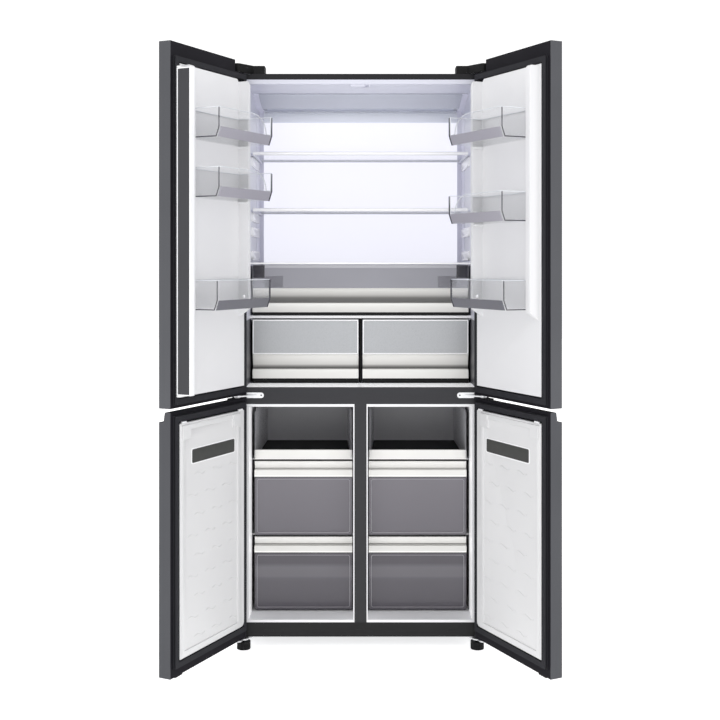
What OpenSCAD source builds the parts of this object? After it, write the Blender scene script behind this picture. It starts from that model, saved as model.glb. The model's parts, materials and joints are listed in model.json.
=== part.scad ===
// Refrigerator with two upper doors over two lower doors, drawn with every door open.
// Millimetres, +Z up. The doors face -Y and the origin is on the floor, midway between the
// reach of the open doors and the back of the cabinet.

/* [Cabinet] */
// Width of the cabinet and of each pair of doors
case_w = 800; // [720:1:880]
// Depth of the cabinet behind its front plane
case_d = 593; // [580:1:680]
// Height of the cabinet's underside above the floor
case_base = 33; // [30:1:40]
// Height of the plinth under the freezers
plinth_h = 45; // [36:1:50]
// Thickness of the insulated side walls
wall_t = 44; // [40:1:52]
// Thickness of the insulated roof
roof_t = 32; // [26:1:60]
// Height of the white lip over the fridge opening
top_lip = 14; // [8:1:18]
// Height of the centre beam between fridge and freezers
beam_h = 53; // [48:1:60]
// Width of the post between the freezers
post_w = 38; // [32:1:50]
// Thickness of the sheet steel
sheet_t = 1.2; // [0.8:0.1:2]
// Recess of the rear panels in the case
rear_in = 4; // [2:0.5:6]
// Thickness of the front flanges and rails
front_t = 3; // [2:0.5:5]
// Thickness of the liners
liner_t = 2; // [1.5:0.1:3]
// Depth of the fridge compartment
fridge_d = 500; // [480:1:520]
// Depth of the freezers above their step
freezer_d = 505; // [490:1:525]
// Depth of the freezers below their step
step_d = 385; // [375:1:390]
// Width of the white rim round each freezer
freezer_rim = 8; // [6:1:12]
// Width of that rim beside the post
post_rim = 3; // [2:1:6]

/* [Doors] */
// Height of the doors' lower ends above the floor
door_base = 38; // [36:1:46]
// Height of the lower doors
lower_door_h = 743; // [720:1:780]
// Height of the upper doors
upper_door_h = 1028; // [1000:1:1120]
// Gap between upper and lower doors
door_gap = 10; // [9:1:14]
// Gap between the left and right doors
centre_gap = 4; // [3:0.5:6]
// How far the upper doors rise over the cabinet
door_rise = 31; // [26:1:40]
// Thickness of the doors without their gasket
door_t = 40; // [38:1:50]
// Gap between a closed door and the cabinet
door_stand = 12; // [11:0.5:14]
// Angle at which all four doors stand open
open_angle = 116; // [60:1:122]
// Distance of the hinge pins from the cabinet's side
pivot_in = 20; // [18:1:24]
// Distance of the hinge pins behind the doors' outer face
pivot_back = 22; // [20:1:25]
// Radius of the hinge pins
pin_r = 4; // [3:0.5:5]
// Thickness of the door's metal skin
skin_t = 1; // [0.8:0.1:1.5]
// Radius of the doors' outer vertical edges
edge_r = 3; // [2:0.5:5]
// Depth of the grip step in the lower doors' top
grip_h = 28; // [24:1:34]
// Depth of the finger groove below that step
groove_h = 12; // [8:1:16]
// Distance of the gaskets from the doors' edges
seal_in = 12; // [10:1:14]
// Width of the gaskets
seal_w = 18; // [16:1:20]
// Height of the gaskets over the doors' inner face
seal_h = 10.5; // [9:0.5:10.5]
// Height of the door liners over the doors' inner face
door_liner_h = 12; // [11:0.5:14]
// Height of the ribs that carry the bins, over the liner
dike_h = 35; // [30:1:40]
// Width of the rib at the hinge side
dike_hinge_w = 12; // [10:1:16]
// Width of the rib at the free side
dike_free_w = 21.5; // [16:0.5:24]

/* [Bins] */
// Height of the bins
bin_h = 84; // [70:1:90]
// Depth of the bins at their rim
bin_d = 110; // [95:1:112]
// How far the lower band of the bins' front leans out
bin_lean = 10; // [6:1:18]
// Height of that band
bin_band_h = 28; // [20:1:34]
// Wall of the bins
bin_t = 2.5; // [2:0.5:4]
// Height of the lowest bins above the liner's lower edge
bin_low = 250; // [240:1:260]
// Height of the left door's middle bin above the same edge
bin_mid_left = 562; // [550:1:570]
// Height of the right door's middle bin above the same edge
bin_mid_right = 494; // [480:1:510]
// Height of the top bins above the same edge
bin_high = 729; // [720:1:750]

/* [Flipper] */
// Width of the flipper that closes the gap between the upper doors
flipper_w = 52; // [46:1:60]
// Thickness of the flipper
flipper_t = 17; // [15:1:18]
// Clearance of the flipper's top under the ceiling
flipper_drop = 14; // [13:1:18]
// Width of the flipper's metal face
flipper_face_w = 38; // [30:1:40]

/* [Shelves and fridge drawers] */
// Distance of the shelves behind the front plane
shelf_front = 125; // [120:1:135]
// Depth of the shelves
shelf_d = 319; // [300:1:322]
// Thickness of the glass
glass_t = 4; // [3:0.5:5]
// Clear height from the glass cover to the middle shelf's top
shelf_gap_low = 176; // [160:1:180]
// Height from the middle shelf's top to the upper shelf's top
shelf_gap_high = 182; // [170:1:186]
// Distance of the fridge drawers' fronts behind the front plane
drawer_front = 118; // [114:1:124]
// Depth of the fridge drawers
drawer_d = 322; // [300:1:328]
// Height of the half-width drawers' fronts
half_h = 190; // [176:1:196]
// Height of the wide drawer's front
wide_h = 153; // [146:1:160]
// Height of the light moulding on the fridge drawers
mould_h = 78; // [72:1:84]
// Height of the lip on that moulding
lip_h = 29; // [24:1:34]
// Depth of the grip in that moulding
grip_d = 20; // [16:1:22]

/* [Freezer drawers] */
// Distance of the freezer drawers' fronts behind the front plane
freezer_front = 90; // [86:1:96]
// Depth of the trays and middle drawers
deep_d = 370; // [350:1:374]
// Depth of the bottom drawers
short_d = 282; // [270:1:284]
// Height of the bottom drawers
bottom_h = 233; // [224:1:238]
// Height of the middle drawers
middle_h = 236; // [226:1:242]
// Height of the trays' front strip
tray_front_h = 31; // [26:1:36]
// Height of the trays' sides
tray_h = 162; // [150:1:165]
// Height of the handle mouldings
handle_h = 49; // [44:1:54]
// Height of the lip on those mouldings
frost_lip_h = 22; // [18:1:26]
// Depth of the handle mouldings
handle_d = 20; // [18:1:24]
// Distance of the drawers' panels behind the handles' front
panel_in = 3; // [2:0.5:6]
// Wall of the drawers
tub_t = 3; // [2:0.5:4]

/* [Feet and machine space] */
// Radius of the levelling feet
foot_r = 21; // [18:1:24]
// Height of the levelling feet's knobs
foot_h = 24; // [20:1:26]
// Radius of the rear rollers
roller_r = 15; // [12:1:16]
// Depth of the machine space
machine_d = 168; // [160:1:172]
// Height of the machine space's roof above the floor
machine_h = 245; // [236:1:248]
// Radius of the compressor
compressor_r = 68; // [60:1:70]
// Radius of the condenser fan
fan_r = 58; // [50:1:62]

/* [Hidden] */
$fn = 48;
eps = 0.01;
cut = 1;
run_gap = 0.05;
slide_gap = 0.4;
side_gap = 8;

half_w = case_w / 2;
door_w = (case_w - centre_gap) / 2;
lower_top = door_base + lower_door_h;
upper_base = lower_top + door_gap;
door_top = upper_base + upper_door_h;
case_top = door_top - door_rise;

plinth_top = case_base + plinth_h;
beam_drop = 23;
beam_base = lower_top - beam_drop;
beam_top = beam_base + beam_h;

open_x = half_w - wall_t;
ceiling = case_top - roof_t;
freezer_x1 = open_x - freezer_rim;
freezer_x0 = post_w / 2 + post_rim;
freezer_floor = plinth_top + freezer_rim;
freezer_ceiling = beam_base - freezer_rim;
step_low = 264;
step_high = 302;
duct_t = 45;
freezer_duct_t = 32;
duct_front = fridge_d - duct_t;

// Hinge axis in the frame of a closed left door, and the reach of the open doors
pivot_x = -half_w + pivot_in;
pivot_y = pivot_back - door_t - door_stand;
seal_top = door_t + seal_h;
flipper_gap = 1;
flipper_r = flipper_t / 2;
flipper_u = door_w - 8 - flipper_r;
flipper_v = seal_top + flipper_gap + flipper_r;
flipper_tip = flipper_v - flipper_r + flipper_w;
open_reach = pivot_y - sin(open_angle) * (flipper_u + flipper_r - pivot_in)
    + cos(open_angle) * (flipper_tip - pivot_back);
front_y = -(case_d + open_reach) / 2;
rear_y = case_d - rear_in;

// Vertical stack of the fridge drawers and shelves
shadow_gap = 15;
plate_t = 9;
plate_gap = 4;
wide_gap = 10;
half_base = beam_top + shadow_gap;
plate_base = half_base + half_h + plate_gap;
plate_top = plate_base + plate_t;
wide_base = plate_top + wide_gap;
cover_base = wide_base + wide_h + 3;
cover_top = cover_base + glass_t;
middle_top = cover_top + shelf_gap_low;
upper_top = middle_top + shelf_gap_high;
drawer_x = open_x - side_gap;
half_inner = 6.5;
partition_t = 5;
trim_h = 11;
trim_d = 12;
rail_h = 7;

// Vertical stack of the freezer drawers
drawer_side = 9;
post_side = 4;
ledge_h = 5;
stack_gap = 1;
bottom_base = freezer_floor + 3;
middle_base = bottom_base + bottom_h + ledge_h + stack_gap;
tray_base = middle_base + middle_h + ledge_h + stack_gap;
frost_x1 = freezer_x1 - drawer_side;
frost_x0 = freezer_x0 + post_side;

// Door liners, bins and flipper
upper_liner_base = upper_base + 31;
upper_liner_top = ceiling + 2;
lower_liner_base = door_base + 47;
lower_liner_top = lower_top - 34;
liner_v = door_t + door_liner_h;
liner_u0 = seal_in + seal_w;
liner_u1 = door_w - seal_in - seal_w;
dike_v = liner_v + dike_h;
dike_u0 = 50;
dike_u1 = door_w - 33.5;
dike_base = upper_liner_base + 213;
dike_top = ceiling - 3;
dike_bevel = 25;
bin_gap = 0.5;
bin_u0 = dike_u0 + dike_hinge_w + bin_gap;
bin_u1 = dike_u1 - dike_free_w - bin_gap;
bin_v = liner_v + 1;
bin_corner = 6;
ledge_gap = 0.3;
flipper_top = ceiling - flipper_drop;
flipper_base = upper_liner_base + 8;
knuckle_h = 5;
knuckle_gap = 0.5;
flipper_pin_r = 3;

// Hinge plates
plate_h = 4;
notch_floor = case_top - 3;
notch_v = 7;
notch_u = 62;
washer_r = 9;
pin_in = 12;
arm_r = 11;
cover_r = 13;
cover_h = 26;
arm_end = [-open_x + 13, 15];
foot_x = -half_w + 37;
foot_y = -8;
stud_r = 5;
roller_y = case_d - 55;
roller_x = half_w - 62;
axle_r = 4;
deck_t = 2;
machine_y = case_d - machine_d;

// Condenser in its drip tray, and the fan on its motor
tray_rim = case_base + deck_t + 14;
coil_x = -half_w + 70;
coil_l = 150;
coil_d = 100;
fan_y = machine_y + 78;
fan_z = tray_rim + 72;
motor_x = coil_x + coil_l + 62;
shaft_r = 3;
shaft_in = 16;

// Shared shapes

module block(from, to) translate(from) cube(to - from);

// The cabinet's own frame has y = 0 in its front plane
module in_case() translate([0, front_y, 0]) children();

module both_sides() {
    children();
    mirror([1, 0, 0]) children();
}

// Side 1 is the right-hand half of the refrigerator
module on_side(side) {
    if (side > 0) mirror([1, 0, 0]) children();
    else children();
}

// Draws a profile of [y, z] points as a bar from x0 to x1
module bar_x(x0, x1, points)
    translate([x0, 0, 0]) rotate([90, 0, 90]) linear_extrude(x1 - x0) polygon(points);

// Hangs what is drawn in door coordinates: x from the hinge side, y from the outer face
module hang(side)
    in_case() on_side(side) translate([pivot_x, pivot_y, 0]) rotate(-open_angle)
        translate([-pivot_in, -pivot_back, 0]) children();

// A straight arm with a round end
module arm(from, to, r) {
    reach = to - from;
    translate(from) rotate(atan2(reach.y, reach.x)) {
        translate([0, -r]) square([norm(reach), 2 * r]);
        circle(r);
    }
}

module rounded(size, r) {
    translate([r, 0]) square([size.x - 2 * r, size.y]);
    translate([0, r]) square([size.x, size.y - 2 * r]);
    for (x = [r, size.x - r], y = [r, size.y - r]) translate([x, y]) circle(r);
}

// Cabinet

module outer_case() color("#5a5b5f") in_case() {
    both_sides() {
        block([-half_w, 0, case_base], [-half_w + sheet_t, case_d, case_top]);
        block([-half_w, 0, case_base], [-open_x, front_t, case_top]);
    }
    block([-half_w, 0, case_top - sheet_t], [half_w, case_d, case_top]);
    block([-half_w, 0, ceiling + top_lip], [half_w, front_t, case_top]);
}

module rear_panels() {
    slot_w = 60;
    slot_h = 6;
    slot_pitch = 18;
    gland_r = 11;
    gland_l = 14;
    color("#8d8f92") in_case() {
        difference() {
            block([-half_w + sheet_t, rear_y - sheet_t, machine_h],
                [half_w - sheet_t, rear_y, case_top - sheet_t]);
            // Pressed hand holds near the top
            both_sides() block([-half_w + 60, rear_y - sheet_t / 2, case_top - 140],
                [-half_w + 180, rear_y + cut, case_top - 100]);
        }
        // Machine cover with air slots and the cord's gland
        difference() {
            union() {
                block([-half_w + sheet_t, rear_y - sheet_t, case_base + deck_t],
                    [half_w - sheet_t, rear_y, machine_h - deck_t]);
                translate([-half_w + 45, case_d - gland_l, case_base + 45]) rotate([-90, 0, 0])
                    cylinder(h = gland_l - 1, r = gland_r);
            }
            translate([-half_w + 45, case_d - gland_l - cut, case_base + 45]) rotate([-90, 0, 0])
                cylinder(h = gland_l + 2 * cut, r = gland_r / 2);
            for (x = [-3 : 1 : 2], k = [0 : 8])
                translate([x * 110 + 25, rear_y - sheet_t - cut, case_base + 30 + k * slot_pitch])
                    cube([slot_w, sheet_t + 2 * cut, slot_h]);
        }
    }
}

// Outline of a freezer liner, drawn outwards by t
function freezer_outline(t, y0) = [
    [y0, freezer_floor - t], [step_d + t, freezer_floor - t], [step_d + t, step_low - t / 2],
    [freezer_d + t, step_high - t / 2], [freezer_d + t, freezer_ceiling + t], [y0, freezer_ceiling + t]
];

module cabinet_foam() color("#d9cfa8") in_case() difference() {
    block([-half_w + sheet_t, front_t, case_base + deck_t],
        [half_w - sheet_t, rear_y - sheet_t, case_top - sheet_t]);
    block([-open_x - liner_t, front_t - cut, beam_top - liner_t],
        [open_x + liner_t, fridge_d + liner_t, ceiling + liner_t]);
    both_sides()
        bar_x(-freezer_x1 - liner_t, -freezer_x0 + liner_t, freezer_outline(liner_t, front_t - cut));
    block([-half_w, machine_y - deck_t, case_base], [half_w, case_d, machine_h]);
}

module shelf_rail(top, reach) both_sides()
    block([-open_x, shelf_front + trim_d + 1, top - rail_h], [-open_x + reach, shelf_front + shelf_d - 4, top]);

module fridge_liner() {
    guide_w = 62;
    guide_t = 7;
    color("#eef0f4") in_case() {
        difference() {
            block([-open_x - liner_t, front_t, beam_top - liner_t],
                [open_x + liner_t, fridge_d + liner_t, ceiling + liner_t]);
            block([-open_x, front_t - cut, beam_top], [open_x, fridge_d, ceiling]);
        }
        block([-open_x, 0, ceiling], [open_x, front_t, ceiling + top_lip]);
        block([-open_x, front_t - eps, ceiling], [open_x, front_t + eps, ceiling + liner_t]);
        shelf_rail(upper_top - glass_t - ledge_gap, side_gap + 3);
        shelf_rail(middle_top - glass_t - ledge_gap, side_gap + 3);
        shelf_rail(cover_base, side_gap - 1.5);
        shelf_rail(plate_base, side_gap - 1.5);
        // Guide that turns the flipper as its door closes
        difference() {
            block([-guide_w / 2, front_t, ceiling - guide_t], [guide_w / 2, 58, ceiling + eps]);
            translate([-guide_w / 2 + 17, front_t - cut, ceiling - guide_t - cut]) difference() {
                cylinder(h = guide_t - 2 + cut, r = 40);
                translate([0, 0, -cut]) cylinder(h = guide_t + 2 * cut, r = 28);
            }
        }
    }
}

module freezer_liner() {
    difference() {
        bar_x(-freezer_x1 - liner_t, -freezer_x0 + liner_t, freezer_outline(liner_t, front_t - eps));
        bar_x(-freezer_x1, -freezer_x0, freezer_outline(0, front_t - cut));
    }
    difference() {
        block([-open_x, 0, plinth_top], [-post_w / 2, front_t, beam_base]);
        block([-freezer_x1, -cut, freezer_floor], [-freezer_x0, front_t + cut, freezer_ceiling]);
    }
    // Runners on the floor and ledges on the walls carry the drawers
    for (x = [-frost_x1 + 20, -frost_x0 - 32])
        block([x, freezer_front + 30, freezer_floor - eps],
            [x + 12, freezer_front + short_d - 10, bottom_base - slide_gap]);
    for (top = [middle_base, tray_base], x = [[-freezer_x1 - eps, -frost_x1 + 8], [-frost_x0 - 8, -freezer_x0 + eps]])
        block([x[0], freezer_front + 26, top - ledge_h], [x[1], freezer_front + deep_d - 10, top - slide_gap]);
}

module freezer_liners() color("#f1f1f2") in_case() both_sides() freezer_liner();

module front_rails() {
    emboss_t = 0.6;
    color("#3d3c40") in_case() {
        block([-open_x, 0, beam_base], [open_x, front_t, beam_top]);
        block([-post_w / 2, 0, plinth_top], [post_w / 2, front_t, beam_base + eps]);
        block([-open_x, 0, case_base], [open_x, front_t, plinth_top]);
        for (x = [-open_x + 55, -15, open_x - 85])
            block([x, -emboss_t, case_base + 12], [x + 30, eps, case_base + 22]);
    }
}

// Hinges

// Outline of the top hinge plate, drawn outwards by t
module hinge_plate_outline(t) {
    arm([pivot_x, pivot_y], arm_end, arm_r + t);
    translate([-open_x - 7 - t, arm_end.y - 7 - t]) square([62 + 2 * t, 52 + 2 * t]);
}

module middle_bracket() {
    flange_h = 17;
    flange_l = 54;
    flange_t = 3;
    mid = (lower_top + upper_base) / 2;
    translate([0, 0, mid - plate_h / 2]) linear_extrude(plate_h) difference() {
        union() {
            arm([pivot_x, pivot_y], [-open_x + 16, -flange_t], arm_r);
            translate([-open_x + 1, -10]) square([30, 10]);
        }
        translate([-half_w, 0]) square([2 * wall_t, arm_r]);
    }
    difference() {
        translate([-open_x + 1, 0, mid - flange_h / 2]) rotate([90, 0, 0]) linear_extrude(flange_t) {
            square([flange_l - flange_h / 2, flange_h]);
            translate([flange_l - flange_h / 2, flange_h / 2]) circle(flange_h / 2);
        }
        translate([-open_x + 1 + flange_l - flange_h / 2, cut, mid]) rotate([90, 0, 0])
            cylinder(h = flange_t + 2 * cut, r = 2.5);
    }
    translate([pivot_x, pivot_y, lower_top - pin_in]) cylinder(h = door_gap + 2 * pin_in, r = pin_r);
    translate([pivot_x, pivot_y, lower_top + ledge_gap])
        cylinder(h = door_gap - 2 * ledge_gap, r = washer_r);
}

module bottom_bracket() {
    difference() {
        translate([0, 0, case_base - plate_h]) linear_extrude(plate_h) {
            arm([pivot_x, pivot_y], [foot_x, 10], 14);
            translate([-half_w + 5, 0]) square([58, 60]);
            translate([foot_x, foot_y]) circle(16);
        }
        translate([foot_x, foot_y, case_base - plate_h - cut])
            cylinder(h = plate_h + 2 * cut, r = stud_r + run_gap);
    }
    translate([pivot_x, pivot_y, case_base - plate_h])
        cylinder(h = door_base - case_base + plate_h + pin_in, r = pin_r);
    translate([pivot_x, pivot_y, case_base - eps])
        cylinder(h = door_base - case_base - ledge_gap + eps, r = washer_r);
}

module top_bracket() {
    translate([0, 0, case_top]) linear_extrude(plate_h) hinge_plate_outline(0);
    translate([pivot_x, pivot_y, notch_floor - pin_in]) cylinder(h = case_top - notch_floor + pin_in + 1, r = pin_r);
    translate([pivot_x, pivot_y, notch_floor + ledge_gap])
        cylinder(h = case_top - notch_floor - ledge_gap + 1, r = washer_r);
}

module hinge_brackets() color("#c9cacc") in_case() both_sides() {
    top_bracket();
    middle_bracket();
    bottom_bracket();
}

module hinge_covers() color("#26262a") in_case() both_sides() difference() {
    translate([0, 0, case_top]) linear_extrude(cover_h) {
        arm([pivot_x, pivot_y], arm_end, cover_r);
        translate([-open_x - 9, arm_end.y - 9]) rounded([66, 56], 4);
    }
    translate([0, 0, case_top - cut]) linear_extrude(plate_h + cut) hinge_plate_outline(run_gap);
}

// Air ducts, lamps and shelves

module air_ducts() {
    duct_x = open_x - 12;
    slot_w = 70;
    slot_h = 10;
    color("#dfe3ee") in_case() {
        difference() {
            block([-duct_x, duct_front, beam_top + 20], [duct_x, fridge_d, ceiling - 11]);
            for (k = [-3 : 3]) translate([k * 90 - slot_w / 2, duct_front - cut, cover_base - 40])
                cube([slot_w, 20, slot_h]);
        }
        both_sides() difference() {
            block([-freezer_x1 + 3, freezer_d - freezer_duct_t, step_high + 8],
                [-freezer_x0 - 3, freezer_d, freezer_ceiling - 3]);
            for (x = [0 : 2], z = [0 : 3])
                translate([-freezer_x1 + 40 + x * 88, freezer_d - freezer_duct_t - cut, step_high + 70 + z * 95])
                    cube([slot_w, 16, slot_h]);
        }
    }
}

module lamp_covers() {
    lamp_x = open_x - 20;
    lamp_drop = 31;
    panel_t = 3;
    color("#f4f4ff") in_case() {
        bar_x(-lamp_x, lamp_x, [
            [203, ceiling], [330, ceiling - lamp_drop],
            [duct_front, ceiling - lamp_drop], [duct_front, ceiling]
        ]);
        block([-open_x + 15, duct_front - panel_t, cover_top], [open_x - 15, duct_front, ceiling - 65]);
    }
}

module glass_shelf(top) color("#dfe8ec") in_case() {
    block([-drawer_x, shelf_front + trim_d / 2, top - glass_t], [drawer_x, shelf_front + shelf_d, top]);
    block([-drawer_x, shelf_front + trim_h / 2, top - trim_h + 1], [drawer_x, shelf_front + trim_d, top + 1]);
    translate([-drawer_x, shelf_front + trim_h / 2, top + 1 - trim_h / 2]) rotate([0, 90, 0])
        cylinder(h = 2 * drawer_x, r = trim_h / 2);
    block([-drawer_x, shelf_front + shelf_d - 9, top - eps], [drawer_x, shelf_front + shelf_d, top + 3]);
}

module upper_shelf() glass_shelf(upper_top);

module middle_shelf() glass_shelf(middle_top);

module crisper_shelf() color("#e6e8e6") in_case() {
    back = shelf_front + shelf_d;
    block([-open_x, shelf_front, cover_base], [open_x, back, cover_top]);
    block([-open_x, shelf_front - 6, cover_base - 1], [open_x, shelf_front + 4, cover_top + 1]);
    block([-open_x, shelf_front - 6, plate_base], [open_x, back, plate_top]);
    block([-partition_t / 2, shelf_front, beam_top], [partition_t / 2, back, plate_base + eps]);
}

// Machine space

module machine_base() {
    ear_t = 4;
    ear_h = 30;
    color("#77797c") in_case() {
        // Deck with its step over the machine space
        bar_x(-half_w + sheet_t, half_w - sheet_t, [
            [front_t, case_base], [machine_y, case_base], [machine_y, machine_h - deck_t],
            [rear_y - sheet_t, machine_h - deck_t], [rear_y - sheet_t, machine_h],
            [machine_y - deck_t, machine_h], [machine_y - deck_t, case_base + deck_t],
            [front_t, case_base + deck_t]
        ]);
        difference() {
            union() {
                block([-half_w + sheet_t, machine_y - eps, case_base],
                    [half_w - sheet_t, case_d, case_base + deck_t]);
                both_sides() for (x = [-roller_x - 14, -roller_x + 10])
                    block([x, roller_y - 12, case_base - ear_h + 6], [x + ear_t, roller_y + 12, case_base + eps]);
            }
            translate([-half_w, roller_y, roller_r]) rotate([0, 90, 0])
                cylinder(h = case_w, r = axle_r + run_gap);
        }
        // Drip tray between the condenser and the compressor
        difference() {
            block([coil_x - 8, machine_y + 12, case_base + deck_t - eps], [60, case_d - 16, tray_rim]);
            block([coil_x - 6, machine_y + 14, case_base + deck_t + 1], [58, case_d - 18, tray_rim + cut]);
        }
    }
}

module compressor() {
    x = half_w - 175;
    y = machine_y + machine_d / 2 - 4;
    base = case_base + deck_t;
    foot = 16;
    top = 140;
    dome_h = 36;
    shoulder_h = 22;
    shoulder_r = compressor_r - 10;
    cap_r = compressor_r / 2;
    plate_w = 24;
    pad_x = compressor_r + 10;
    color("#2c2d30") in_case() translate([x, y, base]) {
        // Welded shell with a stepped dome
        rotate_extrude() polygon([
            [0, foot - 3], [compressor_r, foot - 3], [compressor_r, top - dome_h],
            [shoulder_r, top - dome_h + shoulder_h], [cap_r, top], [0, top]
        ]);
        // Feet on rubber pads, terminal box and two pipe stubs
        for (a = [45 : 90 : 315]) rotate(a) {
            translate([compressor_r / 2, -plate_w / 2, foot - 5]) cube([compressor_r / 2 + 20, plate_w, 5]);
            translate([pad_x, 0, 0]) cylinder(h = foot - 2, r = 9);
        }
        translate([-compressor_r - 8, -14, foot + 30]) cube([18, 28, 42]);
        for (x = [-24, 24]) translate([x, 0, top - 10]) cylinder(h = 34, r = 4);
    }
}

module condenser() {
    rows = 6;
    pitch = 24;
    low_row = tray_rim + 14;
    tube_r = 4;
    fins = 12;
    fin_pitch = 12;
    fin_top = tray_rim + rows * pitch;
    stand = case_base + deck_t + 1;
    motor_l = 34;
    color("#3a3b3e") in_case() {
        // Serpentine tube
        for (k = [0 : rows - 1]) translate([coil_x, fan_y, low_row + k * pitch]) rotate([0, 90, 0])
            cylinder(h = coil_l, r = tube_r);
        for (k = [0 : rows - 2])
            translate([k % 2 == 0 ? coil_x + coil_l : coil_x, fan_y, low_row + k * pitch]) {
                cylinder(h = pitch, r = tube_r);
                for (z = [0, pitch]) translate([0, 0, z]) sphere(tube_r);
            }
        // Fins, and end plates that stand in the drip tray
        for (k = [0 : fins - 1])
            block([coil_x + 8 + k * fin_pitch, fan_y - coil_d / 2, tray_rim],
                [coil_x + 9 + k * fin_pitch, fan_y + coil_d / 2, fin_top]);
        for (x = [coil_x + 2, coil_x + coil_l - 4])
            block([x, fan_y - coil_d / 2, stand], [x + 2, fan_y + coil_d / 2, fin_top]);
        // Fan motor on its bracket
        translate([motor_x, fan_y, fan_z]) rotate([0, 90, 0]) difference() {
            cylinder(h = motor_l, r = 20);
            translate([0, 0, -cut]) cylinder(h = shaft_in + 4 + cut, r = shaft_r + run_gap);
        }
        block([motor_x + motor_l - 10, fan_y - 15, stand], [motor_x + motor_l, fan_y + 15, fan_z - 12]);
    }
}

module condenser_fan() {
    hub_back = 24;
    hub_r = 15;
    blades = 5;
    blade_w = 32;
    color("#55575c") in_case() translate([motor_x, fan_y, fan_z]) rotate([0, 90, 0]) {
        translate([0, 0, -hub_back]) cylinder(h = hub_back + shaft_in, r = shaft_r);
        translate([0, 0, -hub_back]) cylinder(h = hub_back - 2, r = hub_r);
        for (k = [0 : blades - 1]) rotate(k * 360 / blades) translate([hub_r - 3, 0, -hub_back + 11])
            rotate([32, 0, 0]) translate([0, -blade_w / 2, -1]) cube([fan_r - hub_r + 3, blade_w, 2]);
    }
}

module rear_rollers() color("#1d1d1f") in_case() {
    translate([-roller_x - 18, roller_y, roller_r]) rotate([0, 90, 0])
        cylinder(h = 2 * roller_x + 36, r = axle_r);
    both_sides() translate([-roller_x - 9.5, roller_y, roller_r]) rotate([0, 90, 0])
        cylinder(h = 19, r = roller_r);
}

module levelling_foot() {
    flutes = 18;
    difference() {
        cylinder(h = foot_h, r = foot_r);
        for (a = [0 : flutes - 1]) rotate(a * 360 / flutes) translate([foot_r + 1, 0, 3])
            cylinder(h = foot_h, r = 2.4, $fn = 24);
    }
    translate([0, 0, foot_h - eps]) cylinder(h = door_base - 1.3 - foot_h + eps, r = stud_r);
}

module foot_left() color("#1d1d1f") in_case() translate([foot_x, foot_y, 0]) levelling_foot();

module foot_right() color("#1d1d1f") in_case() translate([-foot_x, foot_y, 0]) levelling_foot();

// Doors

// Plan of a door, drawn inwards by t, with round outer edges
module door_plan(t) {
    translate([t + edge_r, t]) square([door_w - 2 * t - 2 * edge_r, door_t - t]);
    translate([t, t + edge_r]) square([door_w - 2 * t, door_t - t - edge_r]);
    for (u = [t + edge_r, door_w - t - edge_r]) translate([u, t + edge_r]) circle(edge_r);
}

module hinge_bore(z0) translate([pivot_in, pivot_back, z0])
    cylinder(h = pin_in + 2, r = pin_r + run_gap);

module hinge_notch() block([-cut, notch_v, notch_floor], [notch_u, door_t + cut, door_top + cut]);

// Grip step across the top of a lower door, clear of its hinge, with a finger groove in it
module grip_cut() {
    step_v = 17;
    bar_x(45, door_w + cut, [
        [-cut, lower_top - grip_h], [step_v, lower_top - grip_h],
        [step_v + 4, lower_top + cut], [-cut, lower_top + cut]
    ]);
    block([60, 6, lower_top - grip_h - groove_h], [door_w - 12, step_v, lower_top - grip_h + cut]);
}

module door_skin(z0, z1) translate([0, 0, z0]) linear_extrude(z1 - z0) difference() {
    door_plan(0);
    door_plan(skin_t);
    translate([skin_t, door_t - cut]) square([door_w - 2 * skin_t, 2 * cut]);
}

module door_core(z0, z1) translate([0, 0, z0]) linear_extrude(z1 - z0) door_plan(skin_t);

module upper_skin(side) color("#6f7073") hang(side) difference() {
    door_skin(upper_base, door_top);
    hinge_notch();
}

module upper_frame(side) color("#2b2b2f") hang(side) difference() {
    door_core(upper_base, door_top);
    hinge_notch();
    hinge_bore(upper_base - eps);
    hinge_bore(notch_floor - pin_in - 2 + eps);
}

module lower_skin(side) color("#6f7073") hang(side) difference() {
    door_skin(door_base, lower_top);
    grip_cut();
}

module lower_frame(side) color("#2b2b2f") hang(side) difference() {
    door_core(door_base, lower_top);
    grip_cut();
    hinge_bore(door_base - eps);
    hinge_bore(lower_top - pin_in - 2 + eps);
}

module ring(u, z, w, v) difference() {
    block([u[0], v[0], z[0]], [u[1], v[1], z[1]]);
    block([u[0] + w, v[0] - cut, z[0] + w], [u[1] - w, v[1] + cut, z[1] - w]);
}

// Gasket with a foot, a narrow bellows and a wide sealing lip
module gasket(z0, z1) {
    u = [seal_in, door_w - seal_in];
    foot = 3;
    lip = 3.5;
    neck = 4;
    ring(u, [z0, z1], seal_w, [door_t, door_t + foot]);
    ring([u[0] + neck, u[1] - neck], [z0 + neck, z1 - neck], seal_w - 2 * neck,
        [door_t + foot - eps, seal_top - lip + eps]);
    ring([u[0] + 1, u[1] - 1], [z0 + 1, z1 - 1], seal_w - 2, [seal_top - lip, seal_top]);
}

module upper_gasket(side) color("#45454a") hang(side)
    gasket(upper_liner_base - 4 - seal_w, upper_liner_top + 3 + seal_w);

module lower_gasket(side) color("#45454a") hang(side)
    gasket(lower_liner_base - 4 - seal_w, lower_liner_top + 5 + seal_w);

// Rib profile in [v, z] with bevelled ends
function dike_profile() = [
    [liner_v - 1, dike_base], [dike_v, dike_base + dike_bevel], [dike_v, dike_top - 6],
    [dike_v - 6, dike_top], [liner_v - 1, dike_top]
];

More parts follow.
